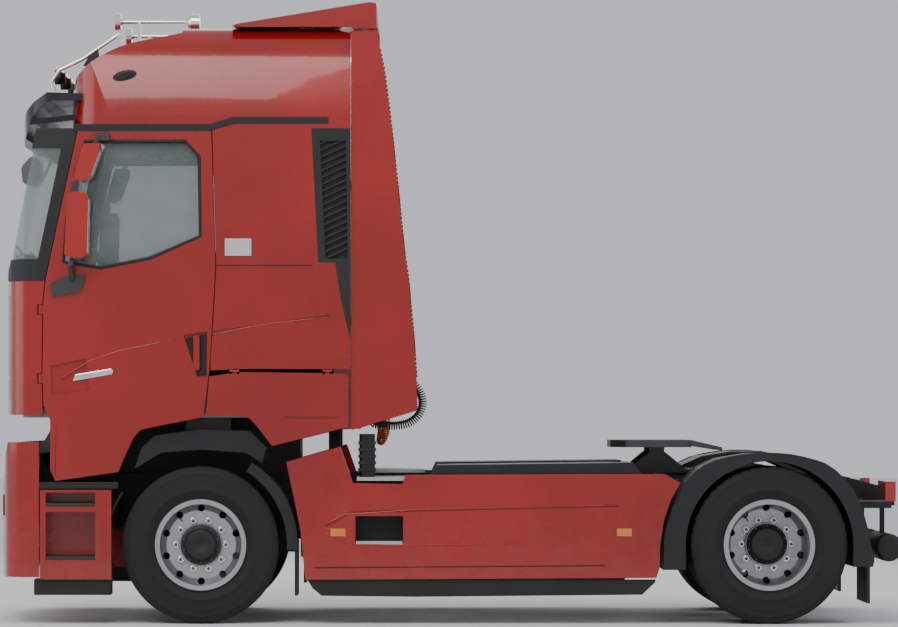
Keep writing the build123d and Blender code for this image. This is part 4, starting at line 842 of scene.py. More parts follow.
def sided(names: str) -> Iterator[str]:
    """Node names, with each * standing for left and for right."""
    for name in names.split():
        yield from (name.replace("*", side.word) for side in Side) if "*" in name else (name,)


@dataclass(frozen=True)
class Coil:
    """A coiled air line between two sockets on the cab's rear wall.

    The line runs along its route as a helix: the point at length s sits at the route's point plus the
    helix radius times (across cos a + up sin a). The angle a grows evenly with s along the coil. Over each
    tail the helix shrinks to the bare line and winds more slowly, which keeps the line from curling up.
    """

    name: str
    node: str
    route: tuple[Point, ...]
    finish: Finish
    line_d: float = 0.011
    coil_d: float = 0.062
    turns_per_metre: float = 62.0
    tail: float = 0.075
    bare_share: float = 0.6
    swell_share: float = 0.8
    points_per_turn: int = 12
    spare_points: int = 60
    guide_points: int = 400

    def centreline(self) -> Array:
        """Evenly spaced points on the route's own spline."""
        curve = bpy.data.curves.new(self.name + "_route", "CURVE")
        curve.dimensions = "3D"
        spline = curve.splines.new("NURBS")
        spline.points.add(len(self.route) - 1)
        for point, (x, y, z) in zip(spline.points, self.route):
            point.co = (ahead(x), y, z, 1.0)
        spline.order_u, spline.use_endpoint_u, spline.resolution_u = 3, True, 40
        guide = link(self.name + "_route", curve)
        mesh = guide.to_mesh()
        points = np.empty(len(mesh.vertices) * 3, dtype=np.float32)
        mesh.vertices.foreach_get("co", points)
        guide.to_mesh_clear()
        bpy.data.objects.remove(guide)
        bpy.data.curves.remove(curve)
        points = points.reshape(-1, 3).astype(float)
        run = distances(points)
        return resampled(points, run, np.linspace(0, run[-1], self.guide_points))

    def helix(self) -> tuple[Array, float]:
        """Points of the wound line and its length."""
        route = self.centreline()
        run = distances(route)
        total = run[-1]
        turns = self.turns_per_metre * (total - 2 * self.tail)
        s = np.linspace(0, total, int(turns * self.points_per_turn) + self.spare_points)
        centre = resampled(route, run, s)
        tangent = np.gradient(centre, axis=0)
        tangent /= np.linalg.norm(tangent, axis=1)[:, None]
        normal, across = carried(tangent)
        bare = self.tail * self.bare_share
        swell = np.clip(np.minimum(s - bare, total - bare - s) / (self.tail * self.swell_share), 0, 1)
        radius = (self.coil_d - self.line_d) / 2 * np.sin(swell * np.pi / 2) ** 2
        near = np.maximum(radius, self.line_d)
        pitch = 1 / (2 * np.pi * self.turns_per_metre)
        per_radian = np.sqrt(np.maximum(near * (2 * self.line_d - near), pitch ** 2))
        angle = np.concatenate([[0], np.cumsum(np.diff(s) / per_radian[1:])])[:, None]
        points = centre + radius[:, None] * (np.cos(angle) * normal + np.sin(angle) * across)
        return points, float(np.linalg.norm(np.diff(points, axis=0), axis=1).sum())

    def build(self, tractor: Tractor) -> None:
        points, length = self.helix()
        made = tube(self.name, points, self.line_d / 2, sides=8)
        tractor.add(made, "cab", self.finish, (self.node,))
        tuple(points[0])
        [tuple(p) for p in points]
        log.info("%s is %.2f m long", self.name, length)


COILS = (
    Coil("air_line_black", "black_coil", (
        (-1.060, 0.250, 1.690), (-1.190, 0.250, 1.690), (-1.350, 0.258, 1.670), (-1.465, 0.270, 1.580),
        (-1.495, 0.285, 1.455), (-1.425, 0.300, 1.350), (-1.300, 0.318, 1.318), (-1.180, 0.332, 1.335),
        (-1.060, 0.332, 1.335)), BLACK_LINE),
    Coil("air_line_orange", "orange_coil", (
        (-1.060, -0.150, 1.500), (-1.150, -0.150, 1.500), (-1.225, -0.158, 1.410), (-1.235, -0.185, 1.300),
        (-1.200, -0.240, 1.215), (-1.185, -0.320, 1.210), (-1.200, -0.385, 1.290), (-1.180, -0.418, 1.390),
        (-1.130, -0.425, 1.450), (-1.060, -0.425, 1.450)), ORANGE_LINE),
)


@dataclass(frozen=True)
class AreaLamp:
    """Square lamp aimed at a point; its power is in watts."""

    name: str
    place: Point
    target: Point
    size: float
    power: float

    def build(self) -> Object:
        """Make the lamp."""
        data = bpy.data.lights.new(self.name, "AREA")
        data.size, data.energy = self.size, self.power
        lamp = link(self.name, data)
        lamp.matrix_world = Matrix(placing(self.place, np.subtract(self.place, self.target)).tolist())
        return lamp


# name, place, target, size, power
LAMPS = (
    AreaLamp("key", (4.0, 9.0, 9.0), (0.0, 0.0, 1.8), 7.0, 640.0),
    AreaLamp("fill", (-9.0, 7.0, 5.0), (0.0, 0.0, 1.5), 8.0, 250.0),
    AreaLamp("back", (0.0, -9.0, 7.0), (0.0, 0.0, 2.0), 7.0, 200.0),
    AreaLamp("front", (10.0, 2.0, 4.0), (1.5, 0.0, 2.0), 6.0, 150.0),
)


@dataclass(frozen=True)
class Stage:
    """Pale floor, soft lamps and the main camera."""

    camera_x: float = 0.191
    camera_y: float = 28.0
    camera_z: float = 1.397
    lens: float = 160.8
    shift_x: float = 0.032
    shift_y: float = 0.113
    floor_half: float = 60.0
    floor_colour: Colour = (0.86, 0.86, 0.85)
    sky_colour: Colour = (0.93, 0.95, 1.0)
    sky_strength: float = 0.68

    def build(self) -> None:
        """Make every stage object."""
        half = self.floor_half
        corners = [(-half, -half, 0), (half, -half, 0), (half, half, 0), (-half, half, 0)]
        floor = make_mesh("floor", np.array(corners), np.array([[0, 1, 2, 3]]), False)
        g = Graph("floor.pale")
        g.set(Base_Color=(*self.floor_colour, 1.0), Roughness=0.75, Specular_IOR_Level=0.2)
        floor.data.materials.append(g.material)
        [lamp.build() for lamp in LAMPS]
        self._camera()
        world = bpy.data.worlds.new("studio")
        bpy.context.scene.world = world
        world.use_nodes = True
        sky = world.node_tree.nodes["Background"].inputs
        sky["Color"].default_value = (*self.sky_colour, 1.0)
        sky["Strength"].default_value = self.sky_strength

    def _camera(self) -> Object:
        """Level camera that looks along -Y."""
        data = bpy.data.cameras.new("main")
        data.lens, data.sensor_width = self.lens, 36.0
        data.shift_x, data.shift_y = self.shift_x, self.shift_y
        data.clip_end = 200.0
        camera = link("main_camera", data)
        camera.location = (self.camera_x, self.camera_y, self.camera_z)
        camera.rotation_euler = (math.pi / 2, 0, math.pi)
        bpy.context.scene.camera = camera
        return camera


# ---- wheels ----
@dataclass(frozen=True)
class Tread:
    """A tyre's cross cuts; the inner end is a distance from the tyre's middle plane, in metres."""

    count: int
    slant: float
    half_share: float
    inner_end: float
    depth_share: float


SIDEWALL = (
    (0.282, 0.70), (0.298, 0.80), (0.312, 0.84), (0.318, 0.83), (0.330, 0.90), (0.362, 0.965),
    (0.366, 0.985), (0.372, 0.985), (0.376, 0.97), (0.415, 1.0), (0.450, 0.985), (0.468, 0.965),
    (0.472, 0.975), (0.478, 0.972), (0.484, 0.955), (0.503, 0.91), (0.516, 0.865))
STEER_TREAD = Tread(count=75, slant=3, half_share=0.06, inner_end=0.098, depth_share=0.5)
DRIVE_TREAD = Tread(count=50, slant=9, half_share=0.13, inner_end=0.031, depth_share=0.85)


@dataclass(frozen=True)
class Wheel:
    """One tyre with cut tread, as one surface.

    Its rows follow the section from bead to bead and its columns go round. The grooves are sunk by lowering
    the radius where the offset lies in a groove. The grooves' centres swing from side to side round the
    tyre, so that they zigzag, and short cuts cross the shoulders. A sidewall point is (radius, offset as a
    share of half the tyre's width).
    """

    name: str
    body: str
    axle_x: float
    centre_y: float
    tread: Tread
    replaces: tuple[str, ...] = ()
    columns: int = 300
    tread_rows: int = 57
    tread_share: float = 0.84
    shoulder_drop: float = 0.0052
    shell: float = 0.008
    groove_depth: float = 0.013
    groove_swing: float = 0.0045
    grooves_at: tuple[tuple[float, float], ...] = ((0.078, 0.0105), (0.027, 0.0115))
    zigzags: int = 46
    rib_share: float = 0.0012
    ribs_round: int = 180

    def section(self) -> Array:
        """Rows of (radius, offset) from the inner bead over the tread to the outer bead."""
        half = TYRE_WIDTH / 2
        inner = np.array(SIDEWALL) * (1, -half)
        across = np.linspace(-self.tread_share, self.tread_share, self.tread_rows) * half
        crown = TYRE_R - self.shoulder_drop * np.abs(across / (self.tread_share * half)) ** 2.6
        return np.vstack([inner, np.column_stack([crown, across]), inner[::-1] * np.array([1, -1])])

    def cuts(self, offset: Array, angle: Array) -> Array:
        """Depth of the tread cuts at an offset and an angle."""
        beat = np.sin(angle * self.zigzags)
        swing = self.groove_swing * np.sign(beat) * np.minimum(np.abs(beat) * 2.2, 1)
        depth = np.zeros(np.broadcast(offset, angle).shape)
        for place, width in self.grooves_at:
            for centre in (-place, place):
                reach = np.abs(offset - centre - swing)
                depth = np.maximum(depth, np.clip((width - reach) / 0.003, 0, 1))
        cross = self.tread
        wave = np.abs(((angle * cross.count / (2 * np.pi) + offset * cross.slant) % 1) - 0.5)
        ends = np.clip((np.abs(offset) - cross.inner_end) / 0.004, 0, 1)
        lateral = np.clip((cross.half_share - wave) / 0.04, 0, 1) * ends
        return self.groove_depth * np.maximum(depth, lateral * cross.depth_share)

    def build(self, tractor: Tractor) -> None:
        """Make the tyre in place of the plain ones."""
        rows = self.section()
        angle = np.linspace(0, 2 * np.pi, self.columns, endpoint=False)
        radius, offset = rows[:, :1], rows[:, 1:]
        on_tread = radius > TYRE_R - self.shoulder_drop - 0.0003
        on_wall = (radius > 0.476) & (radius < 0.51)
        ribs = self.rib_share * (np.sin(angle[None] * self.ribs_round) > 0) * on_wall
        reach = radius - self.cuts(offset, angle[None]) * on_tread
        grid = np.stack([self.axle_x + reach * np.cos(angle), self.centre_y + offset * (1 + ribs),
                         AXLE_Z + reach * np.sin(angle)], 2)
        made = surface(self.name, grid, (False, True), flip=True)
        tractor.add(thick(made, self.shell), self.body, TYRE, self.replaces)


NUT_COLLAR = ((0.027, 0.0), (0.027, 0.003), (0.024, 0.006), (0.0, 0.006))
WHEEL_STUD = ((0.011, 0.0), (0.011, 0.044), (0.009, 0.047), (0.0, 0.047))


@dataclass(frozen=True)
class HubDressing:
    """Nuts, centre cap, drum, valve and their bolts, which stand on a rim's disc.

    Profiles are (radius, distance out from their start), and the valve's line is (radius, distance out
    from the disc).
    """

    name: str
    body: str
    axle_x: float
    face_y: float
    side: Side
    cap_radius: float
    cap_reach: float
    cap_from: float
    drum_radius: float = 0.1435
    nut_pcd: float = 0.335
    nut_radius: float = 0.0185
    nut_height: float = 0.034
    nut_lift: float = 0.004
    count: int = 10
    rib_count: int = 24
    valve_turn: float = 0.9
    valve_line: Outline = ((0.235, -0.012), (0.228, 0.030), (0.200, 0.048))

    def around(self, radius: float, turns: Vector, y: float) -> Array:
        """Points round the axle at a radius, y metres out from the middle plane."""
        turns = np.asarray(turns)
        return np.stack([self.axle_x + radius * np.cos(turns), np.full(len(turns), self.side.value * y),
                         AXLE_Z + radius * np.sin(turns)], 1)

    def turned(self, label: str, profile: Outline, y: float) -> Object:
        """Piece turned round the axle from y metres out."""
        s = self.side.value
        return lathe(f"{self.name}_{label}", profile, (self.axle_x, s * y, AXLE_Z), (0, s, 0), segments=60)

    def nuts(self) -> Pieces:
        """Each nut's collar, hexagon and stud."""
        out = np.array([0, self.side.value, 0])
        spots = self.around(self.nut_pcd / 2, np.arange(self.count) * 2 * np.pi / self.count, self.face_y)
        collars = [lathe("collar", NUT_COLLAR, spot, out, segments=20) for spot in spots]
        yield joined(f"{self.name}_nut_collars", collars), STEEL
        lifted = spots + out * self.nut_lift
        nuts = bolts(f"{self.name}_nuts", lifted, out, self.nut_radius, self.nut_height)
        yield bevelled(nuts, 0.0012), CHROME
        studs = [lathe("stud", WHEEL_STUD, spot, out, segments=14) for spot in spots]
        yield joined(f"{self.name}_studs", studs), STEEL

    def middle(self) -> Pieces:
        """Cap, drum, the cap's ribs and bolts, and the valve."""
        r, h, d, s = self.cap_radius, self.cap_reach, self.drum_radius, self.side.value
        start, seat = self.face_y + self.cap_from, self.cap_from + 0.0012
        cap = ((r * 1.16, 0.0), (r * 1.16, 0.010), (r * 1.10, 0.014), (r, 0.016), (r * 0.97, h * 0.72),
               (r * 0.94, h * 0.95), (r * 0.88, h), (r * 0.34, h), (r * 0.30, h - 0.003), (0.0, h - 0.003))
        yield self.turned("hub_cap", cap, start), DARK
        drum = ((d, 0.0), (d, self.cap_from - 0.005), (d - 0.006, seat), (r * 0.9, seat))
        yield self.turned("drum", drum, self.face_y), CAST
        turn = np.arange(self.rib_count) * 2 * np.pi / self.rib_count
        along = np.stack([np.cos(turn), 0 * turn, np.sin(turn)], 1)
        places = np.tile(np.eye(4), (self.rib_count, 1, 1))
        places[:, :3, 0] = (0, h * 0.55, 0)
        places[:, :3, 1] = 0.010 * np.stack([-np.sin(turn), 0 * turn, np.cos(turn)], 1)
        places[:, :3, 2] = 0.006 * along
        places[:, :3, 3] = (self.axle_x, s * (start + h * 0.46), AXLE_Z) + along * r * 0.985
        yield pattern(f"{self.name}_cap_ribs", *unit_box(), places), DARK
        ring = self.around(r * 1.10, (np.arange(self.count) * 2 + 1) * np.pi / self.count, start + 0.012)
        yield bolts(f"{self.name}_cap_bolts", ring, (0, s, 0), radius=0.0055, height=0.006), STEEL
        line = [self.around(reach, (self.valve_turn,), self.face_y + rise)[0]
                for reach, rise in self.valve_line]
        yield tube(f"{self.name}_valve", line, radius=0.0045, sides=10), STEEL

    def build(self, tractor: Tractor) -> None:
        """Make and hang the pieces on the wheel's body."""
        for part in (self.nuts, self.middle):
            for piece, finish in part():
                tractor.add(piece, self.body, finish)


def wheels() -> list[Assembly]:
    """Tyres and hub dressings of both axles."""
    made: list[Assembly] = []
    for side in Side:
        s, word = side.value, side.word
        front, rear = f"wheel_front_{word}", f"wheel_rear_{word}"
        made += [
            Wheel(f"front_tyre_cut_{word}", front, FRONT_AXLE_X, s * FRONT_TYRE_Y, STEER_TREAD,
                  (f"front_tyre_{word}",)),
            HubDressing(f"front_hub_{word}", front, FRONT_AXLE_X, FRONT_FACE_Y, side, cap_radius=0.106,
                        cap_reach=0.052, cap_from=FRONT_CAP_FROM),
            Wheel(f"rear_outer_tyre_{word}", rear, REAR_AXLE_X, s * REAR_OUTER_Y, DRIVE_TREAD,
                  (f"rear_tyres_{word}",)),
            Wheel(f"rear_inner_tyre_{word}", rear, REAR_AXLE_X, s * REAR_INNER_Y, DRIVE_TREAD),
            HubDressing(f"rear_hub_{word}", rear, REAR_AXLE_X, REAR_FACE_Y, side, cap_radius=0.114,
                        cap_reach=0.075, cap_from=REAR_CAP_FROM),
        ]
    return made


# ---- coachwork ----
ON_CAB = ("cab", "cab")
ON_DOORS = ("door_left", "door_right")
ON_CHASSIS = ("chassis", "chassis")


@dataclass(frozen=True)
class Panel:
    """Flat piece of trim on both flanks, drawn in side view.

    The outline's points are (distance ahead of the front axle, height) in metres. The inner and outer
    faces are given by how far they stand out from the flank.
    """

    name: str
    bodies: tuple[str, str]
    finish: Finish
    outline: Outline
    inner: float
    outer: float
    edge: float = 0.002

    def build(self, tractor: Tractor) -> None:
        """Make the left piece and its mirror image."""
        loop = [(ahead(x), z) for x, z in self.outline]
        piece = prism(self.name, loop, BODY_HALF + self.inner, BODY_HALF + self.outer)
        if self.edge:
            bevelled(piece, self.edge)
        tractor.add_pair(piece, self.bodies, self.finish)


@dataclass(frozen=True)
class Bead:
    """Round bead on both flanks that follows a line drawn in side view: a seal, a seam or a crease.

    Its middle stands out from the flank by the amount proud.
    """

    name: str
    bodies: tuple[str, str]
    finish: Finish
    line: Outline
    radius: float
    proud: float
    closed: bool = False
    rounds: int = 2

    def build(self, tractor: Tractor) -> None:
        """Make the left bead and its mirror image."""
        path = [(ahead(x), BODY_HALF + self.proud, z) for x, z in self.line]
        piece = tube(self.name, path, self.radius, sides=8, closed=self.closed, rounds=self.rounds)
        tractor.add_pair(piece, self.bodies, self.finish)


@dataclass(frozen=True)
class Serration:
    """Toothed rubber edge along the rear of the side deflector."""

    count: int = 74
    edge: Outline = ((-1.204, 3.830), (-1.231, 3.697), (-1.264, 3.450), (-1.291, 3.210), (-1.331, 2.830),
                     (-1.364, 2.497), (-1.391, 2.317), (-1.404, 2.163), (-1.424, 1.963), (-1.444, 1.683))
    tooth: Point = (0.010, 0.010, 0.019)
    level: float = 1.218

    def build(self, tractor: Tractor) -> None:
        """Make the teeth as one piece on each side."""
        points, faces = unit_box()
        edge = np.array(self.edge)
        height = np.linspace(edge[0, 1], edge[-1, 1], self.count)
        shifts = np.tile(np.diag([*self.tooth, 1.0]), (self.count, 1, 1))
        shifts[:, 0, 3] = ahead(0) + np.interp(height, edge[::-1, 1], edge[::-1, 0])
        shifts[:, 1, 3] = self.level
        shifts[:, 2, 3] = height
        tractor.add_pair(pattern("deflector_teeth", points, faces, shifts), ON_CAB, RUBBER)


WINDOW_LINE = (
    (0.771, 3.223), (0.825, 3.030), (0.891, 2.697), (0.911, 2.417), (0.665, 2.377), (0.398, 2.430),
    (0.331, 2.443), (-0.002, 2.590), (0.005, 3.120), (0.098, 3.223))
BELT_TRIM = (
    (0.845, 3.290), (-0.070, 3.290), (-0.085, 3.300), (-0.225, 3.342), (-0.855, 3.342), (-0.855, 3.384),
    (-0.215, 3.384), (-0.070, 3.337), (0.845, 3.337))
REAR_ARCH = (
    (-3.097, 0.563), (-3.137, 0.730), (-3.237, 0.943), (-3.335, 1.043), (-3.469, 1.103), (-3.682, 1.137),
    (-3.902, 1.137), (-4.069, 1.103), (-4.202, 1.057), (-4.335, 0.930), (-4.415, 0.763), (-4.469, 0.563))
DOOR_CREASE = ((0.930, 1.640), (0.665, 1.800), (0.165, 1.900))
QUARTER_CREASE = ((-0.075, 1.930), (-0.400, 2.000), (-0.860, 2.050))
HIGH_CREASE = ((-0.830, 0.662), (-1.000, 0.756), (-2.790, 0.796))
LOW_CREASE = ((-0.830, 0.610), (-0.940, 0.556), (-1.020, 0.524), (-2.070, 0.536))
PILL = ((0.850, 1.622), (0.835, 1.668), (0.590, 1.708), (0.578, 1.690), (0.586, 1.668))
PULL_PLATE = ((0.098, 1.905), (0.012, 1.925), (-0.040, 1.935), (-0.038, 1.665), (0.015, 1.660))
PULL_BAR = ((0.045, 1.912), (0.000, 1.912), (-0.004, 1.712), (0.041, 1.712))


def rectangle(front: float, rear: float, low: float, high: float) -> Outline:
    """Upright rectangle in side view."""
    return (front, low), (rear, low), (rear, high), (front, high)


def coachwork() -> list[Assembly]:
    """Trim of the cab's flanks, doors, skirts and bumper."""
    return [
        Panel("belt_trim", ON_CAB, RUBBER, BELT_TRIM, -0.006, 0.003),
        Bead("window_seal", ON_DOORS, RUBBER, WINDOW_LINE, 0.012, -0.004, closed=True, rounds=0),
        Panel("pull_plate", ON_DOORS, DARK, PULL_PLATE, -0.040, -0.030),
        Panel("pull_bar", ON_DOORS, DARK, PULL_BAR, -0.031, -0.006, edge=0.006),
        Panel("bright_pill", ON_DOORS, CHROME, PILL, -0.020, 0.005, edge=0.006),
        Panel("blank_plate", ON_CAB, ALUMINIUM, rectangle(-0.165, -0.342, 2.458, 2.572), -0.006, 0.003),
        Bead("door_crease", ON_DOORS, RED, DOOR_CREASE, 0.006, -0.002, rounds=1),
        Bead("quarter_crease", ON_CAB, RED, QUARTER_CREASE, 0.006, -0.008, rounds=1),
        Bead("quarter_seam", ON_CAB, RUBBER, ((-0.110, 2.395), (-0.750, 2.395)), 0.003, -0.005, rounds=0),
        Bead("skirt_seam", ON_CHASSIS, RUBBER, ((-0.755, 0.378), (-2.700, 0.392)), 0.004, -0.001,
             rounds=0),
        Bead("skirt_crease_high", ON_CHASSIS, RED, HIGH_CREASE, 0.006, -0.002, rounds=1),
        Bead("skirt_crease_low", ON_CHASSIS, RED, LOW_CREASE, 0.006, -0.002, rounds=1),
        # painted shade: a thin dark sheet set inside the skirt's opening stands for the shade behind it
        Panel("skirt_window", ON_CHASSIS, DARK, rectangle(-1.038, -1.352, 0.533, 0.720), -0.1705, -0.166,
              edge=0.0),
        Bead("rear_arch_lip", ON_CHASSIS, RUBBER, REAR_ARCH, 0.008, -0.010, rounds=1),
        Bead("door_front_seam", ON_DOORS, RUBBER, ((0.965, 0.990), (0.960, 1.340)), 0.002, -0.001,
             rounds=0),
        Panel("bumper_band", ON_CHASSIS, RUBBER, rectangle(1.075, 0.545, 0.905, 0.950), -0.006, 0.002),
        Serration(),
    ]


# ---- seats and bunk ----
SEAT_Y = 0.65
PAD_HALF = 0.21
REST_HALF = 0.13
STAND_HALF = 0.11


@dataclass(frozen=True)
class Cushion:
    """Crowned foam cushion with a cloth cover.

    A box whose corners are rounded by a sixth-power norm. Its upper and lower faces swell towards the
    middle and its sides pull in between the corners, each in proportion to one less the square of the
    distance along the face. The whole may lean in side view.
    """

    name: str
    low: Point
    high: Point
    finish: Finish
    lean: float = 0.0
    crown: float = 0.16
    pull: float = 0.05
    channels: int = 0
    cells: int = 20
    corner_power: float = 6
    seam_depth: float = 0.05
    seam_width: float = 0.16

    def shape(self) -> tuple[Array, Array]:
        """Points and quads of the cushion in the row frame."""
        step = np.linspace(-1, 1, self.cells + 1)
        across, up = np.meshgrid(step, step, indexing="ij")
        quads = grid_faces(self.cells + 1, self.cells + 1)
        points, faces = [], []
        for axis in range(3):
            for sign in (1.0, -1.0):
                side = np.empty((across.size, 3))
                side[:, axis] = sign
                side[:, (axis + 1) % 3] = across.ravel()
                side[:, (axis + 2) % 3] = up.ravel()
                faces.append((quads if sign < 0 else quads[:, ::-1]) + len(points) * across.size)
                points.append(side)
        cube, where = np.unique(np.round(np.vstack(points), 6), axis=0, return_inverse=True)
        faces = where.ravel()[np.vstack(faces)]
        round_off = (np.abs(cube) ** self.corner_power).sum(1) ** (1 / self.corner_power)
        p = cube / round_off[:, None]
        x, y, z = p.T
        swell = 1 - self.crown * (1 - (1 - x ** 2) * (1 - y ** 2))
        if self.channels:
            wave = np.sin(np.pi * self.channels * y / 2) / self.seam_width
            swell = swell * (1 - self.seam_depth * np.exp(-wave ** 2))
        pulled = [x * (1 - self.pull * (1 - y ** 2)), y * (1 - self.pull * (1 - x ** 2))]
        out = np.stack([*pulled, z * swell], 1)
        low, high = np.array(self.low), np.array(self.high)
        low[0], high[0] = ahead(self.low[0]), ahead(self.high[0])
        out = (low + high) / 2 + out * (high - low) / 2
        out[:, 0] += self.lean * (out[:, 2] - low[2])
        return out, faces

    def build(self, tractor: Tractor) -> None:
        points, faces = self.shape()
        piece = make_mesh(self.name, points, faces, True)
        tractor.add(piece, "cab", self.finish, ("seats",))


@dataclass(frozen=True)
class SeatBases:
    """Pedestals below the seats and the box below the bunk."""

    def build(self, tractor: Tractor) -> None:
        """Make the rigid supports."""
        for side in Side:
            middle = side.value * SEAT_Y
            stand = brick("seat_stand_" + side.word, (ahead(-0.10), middle - STAND_HALF, 1.441),
                          (ahead(0.16), middle + STAND_HALF, 1.815))
            tractor.add(bevelled(stand, 0.01), "cab", DARK)
        box = brick("bunk_base", (ahead(-0.945), -0.43, 1.601), (ahead(-0.345), 0.43, 1.775))
        tractor.add(bevelled(box, 0.006), "cab", LINER)


def seating() -> list[Assembly]:
    """Both seats, the bunk and what carries them."""
    made: list[Assembly] = []
    for side in Side:
        word, middle = side.word, side.value * SEAT_Y
        low, high = middle - PAD_HALF, middle + PAD_HALF
        inner, outer = middle - REST_HALF, middle + REST_HALF
        made += [
            Cushion(f"seat_pad_{word}", (-0.20, low, 1.80), (0.26, high, 1.93), CLOTH, channels=3),
            Cushion(f"seat_back_{word}", (-0.195, low, 1.93), (-0.075, high, 2.56), CLOTH, lean=-0.155,
                    crown=0.04, channels=3),
            Cushion(f"head_rest_{word}", (-0.182, inner, 2.57), (-0.085, outer, 2.755), CLOTH, lean=-0.11,
                    crown=0.05),
        ]
    bunk = Cushion("bunk_pad", (-0.940, -1.145, 1.76), (-0.335, 1.145, 1.975), BEDDING, channels=5)
    return [*made, bunk, SeatBases()]


# ---- lamps, wipers and fixings ----
def landing(tractor: Tractor, node: str, origin: Vector, direction: Vector) -> Array:
    """Where a straight line from a point first meets a CAD node.

    Args:
        tractor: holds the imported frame.
        node: the node to meet.
        origin: start of the line.
        direction: its direction.

    Returns:
        The meeting point.
    """
    hit, place, _, _ = tractor.frame["nodes"][node].ray_cast(origin, direction)
    if not hit:
        raise ValueError(f"nothing of {node} lies that way")
    return np.array(place)


@dataclass(frozen=True)
class RoofLamps:
    """Work lamps on the light bar and an oval side lamp in each shoulder of the roof."""

    places: tuple[float, ...] = (-0.74, -0.30, 0.30, 0.74)
    centre: tuple[float, float] = (0.978, 3.692)
    radius: float = 0.050
    depth: float = 0.070
    oval: tuple[float, float] = (0.505, 3.663)
    oval_half: tuple[float, float] = (0.080, 0.036)
    tilt: float = math.radians(9)
    oval_points: int = 40
    sunk: float = 0.05

    def build(self, tractor: Tractor) -> None:
        """Make the lamps."""
        r, d = self.radius, self.depth
        shell = ((0.0, -d / 2), (r * 0.7, -d / 2), (r, -d * 0.1), (r, d / 2), (r * 0.86, d / 2),
                 (r * 0.86, d * 0.36), (0.0, d * 0.36))
        lens = ((0.0, d * 0.30), (r * 0.85, d * 0.30), (r * 0.85, d * 0.40), (0.0, d * 0.46))
        x, z = ahead(self.centre[0]), self.centre[1]
        for name, profile, finish in (
                ("work_lamp_shells", shell, DARK), ("work_lamp_lenses", lens, WHITE_LENS)):
            parts = [lathe("lamp", profile, (x, y, z), (1, 0, 0)) for y in self.places]
            tractor.add(joined(name, parts), "cab", finish)
        x, z = ahead(self.oval[0]), self.oval[1]
        skin = landing(tractor, "cab_roof", (x, 3.0, z), (0, -1, 0))
        turn = np.linspace(0, 2 * np.pi, self.oval_points, endpoint=False)
        lean, fall = math.cos(self.tilt), math.sin(self.tilt)
        for name, scale, proud, finish in (
                ("roof_lamp_ring", 1.0, 0.010, DARK), ("roof_lamp_lens", 0.72, 0.016, SMOKE)):
            a, b = (half * scale for half in self.oval_half)
            along, up = a * np.cos(turn), b * np.sin(turn)
            loop = np.column_stack([x + along * lean - up * fall, z - along * fall + up * lean])
            piece = prism(name, loop, skin[1] - self.sunk, skin[1] + proud)
            tractor.add_pair(bevelled(piece, 0.004), ON_CAB, finish)


@dataclass(frozen=True)
class Wipers:
    """Two wiper arms with blades that lie along the foot of the windscreen."""

    spans: Outline = ((-0.95, -0.15), (0.05, 0.85))
    height: float = 2.485
    rise: float = 0.05
    stand_off: float = 0.014
    steps: int = 12
    arm_steps: int = 8
    blade_radius: float = 0.009
    arm_radius: float = 0.006

    def build(self, tractor: Tractor) -> None:
        """Make both arms and blades as one piece."""
        parts = []
        for low, high in self.spans:
            line = []
            for share in np.linspace(0, 1, self.steps):
                y, z = low + (high - low) * share, self.height + self.rise * share
                skin = landing(tractor, "windscreen", (5.0, y, z), (-1, 0, 0))
                line.append((skin[0] + self.stand_off, y, z))
            arm = [(x + 0.012, y, z - 0.004) for x, y, z in line[:self.arm_steps]]
            parts.append(tube("blade", line, self.blade_radius, sides=8))
            parts.append(tube("arm", arm, self.arm_radius, sides=8))
        tractor.add(joined("wipers", parts), "cab", RUBBER)


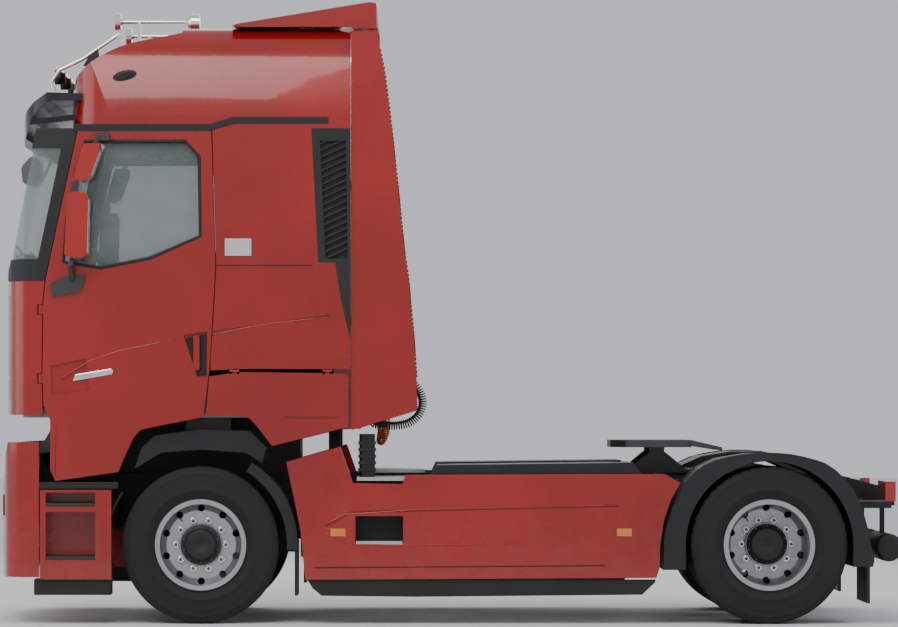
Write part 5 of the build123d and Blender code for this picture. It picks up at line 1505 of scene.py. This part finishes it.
@dataclass(frozen=True)
class Fixings:
    """Bolt heads along the frame's rails and on the coupling's base."""

    rail_from: float = -4.50
    rail_to: float = -1.70
    rail_step: float = 0.14
    rail_y: float = 0.425
    rail_rows: tuple[float, float] = (0.815, 0.945)
    coupling: float = -3.10
    coupling_y: float = 0.43
    coupling_at: tuple[float, ...] = (-0.31, -0.24, 0.24, 0.31)

    def build(self, tractor: Tractor) -> None:
        """Make the bolt heads."""
        run = np.arange(self.rail_from, self.rail_to, self.rail_step)
        spots = [(ahead(a), self.rail_y, z) for a in run for z in self.rail_rows]
        tractor.add_pair(bolts("rail_bolts", spots, (0, 1, 0), radius=0.010), ON_CHASSIS, STEEL)
        places = [(ahead(self.coupling + a), self.coupling_y) for a in self.coupling_at]
        plate = landing(tractor, "fifth_wheel_base", (*places[-1], 1.15), (0, 0, -1))
        spots = [(*place, plate[2]) for place in places]
        tractor.add_pair(bolts("base_bolts", spots, (0, 0, 1), radius=0.012), ON_CHASSIS, STEEL)


MIRROR_LOW = ((0.728, 2.820), (0.737, 2.475), (0.734, 2.475), (0.725, 2.820))
MIRROR_HIGH = ((0.653, 3.138), (0.709, 2.985), (0.706, 2.984), (0.650, 3.137))
RAIL_BRACKET = ((0.800, 3.745), (0.680, 3.752), (0.700, 3.858), (0.760, 3.815))


def details() -> list[Assembly]:
    """Lamps, wipers, fixings, the mirrors' glasses and the light bar's brackets."""
    return [
        RoofLamps(),
        Wipers(),
        Fixings(),
        Panel("mirror_low", ON_DOORS, SILVERED, MIRROR_LOW, 0.060, 0.205, edge=0.0),
        Panel("mirror_high", ON_DOORS, SILVERED, MIRROR_HIGH, 0.060, 0.205, edge=0.0),
        Panel("rail_bracket", ON_CAB, DARK, RAIL_BRACKET, -0.265, -0.235),
    ]


def main() -> None:
    """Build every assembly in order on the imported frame."""
    logging.basicConfig(level=logging.INFO, format="%(message)s")
    tractor = Tractor()
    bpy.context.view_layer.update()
    for finish, nodes in NODE_FINISHES.items():
        for node in sided(nodes):
            tractor.paint_node(node, finish)
    for assembly in assemblies():
        before = tractor.count
        assembly.build(tractor)
        log.info("%s: %d pieces", type(assembly).__name__, tractor.count - before)
    Stage().build()


def assemblies() -> list[Assembly]:
    """Every assembly in the order in which it's built."""
    return [*COILS, *wheels(), *coachwork(), *seating(), *details()]


if __name__ == "__main__":
    main()
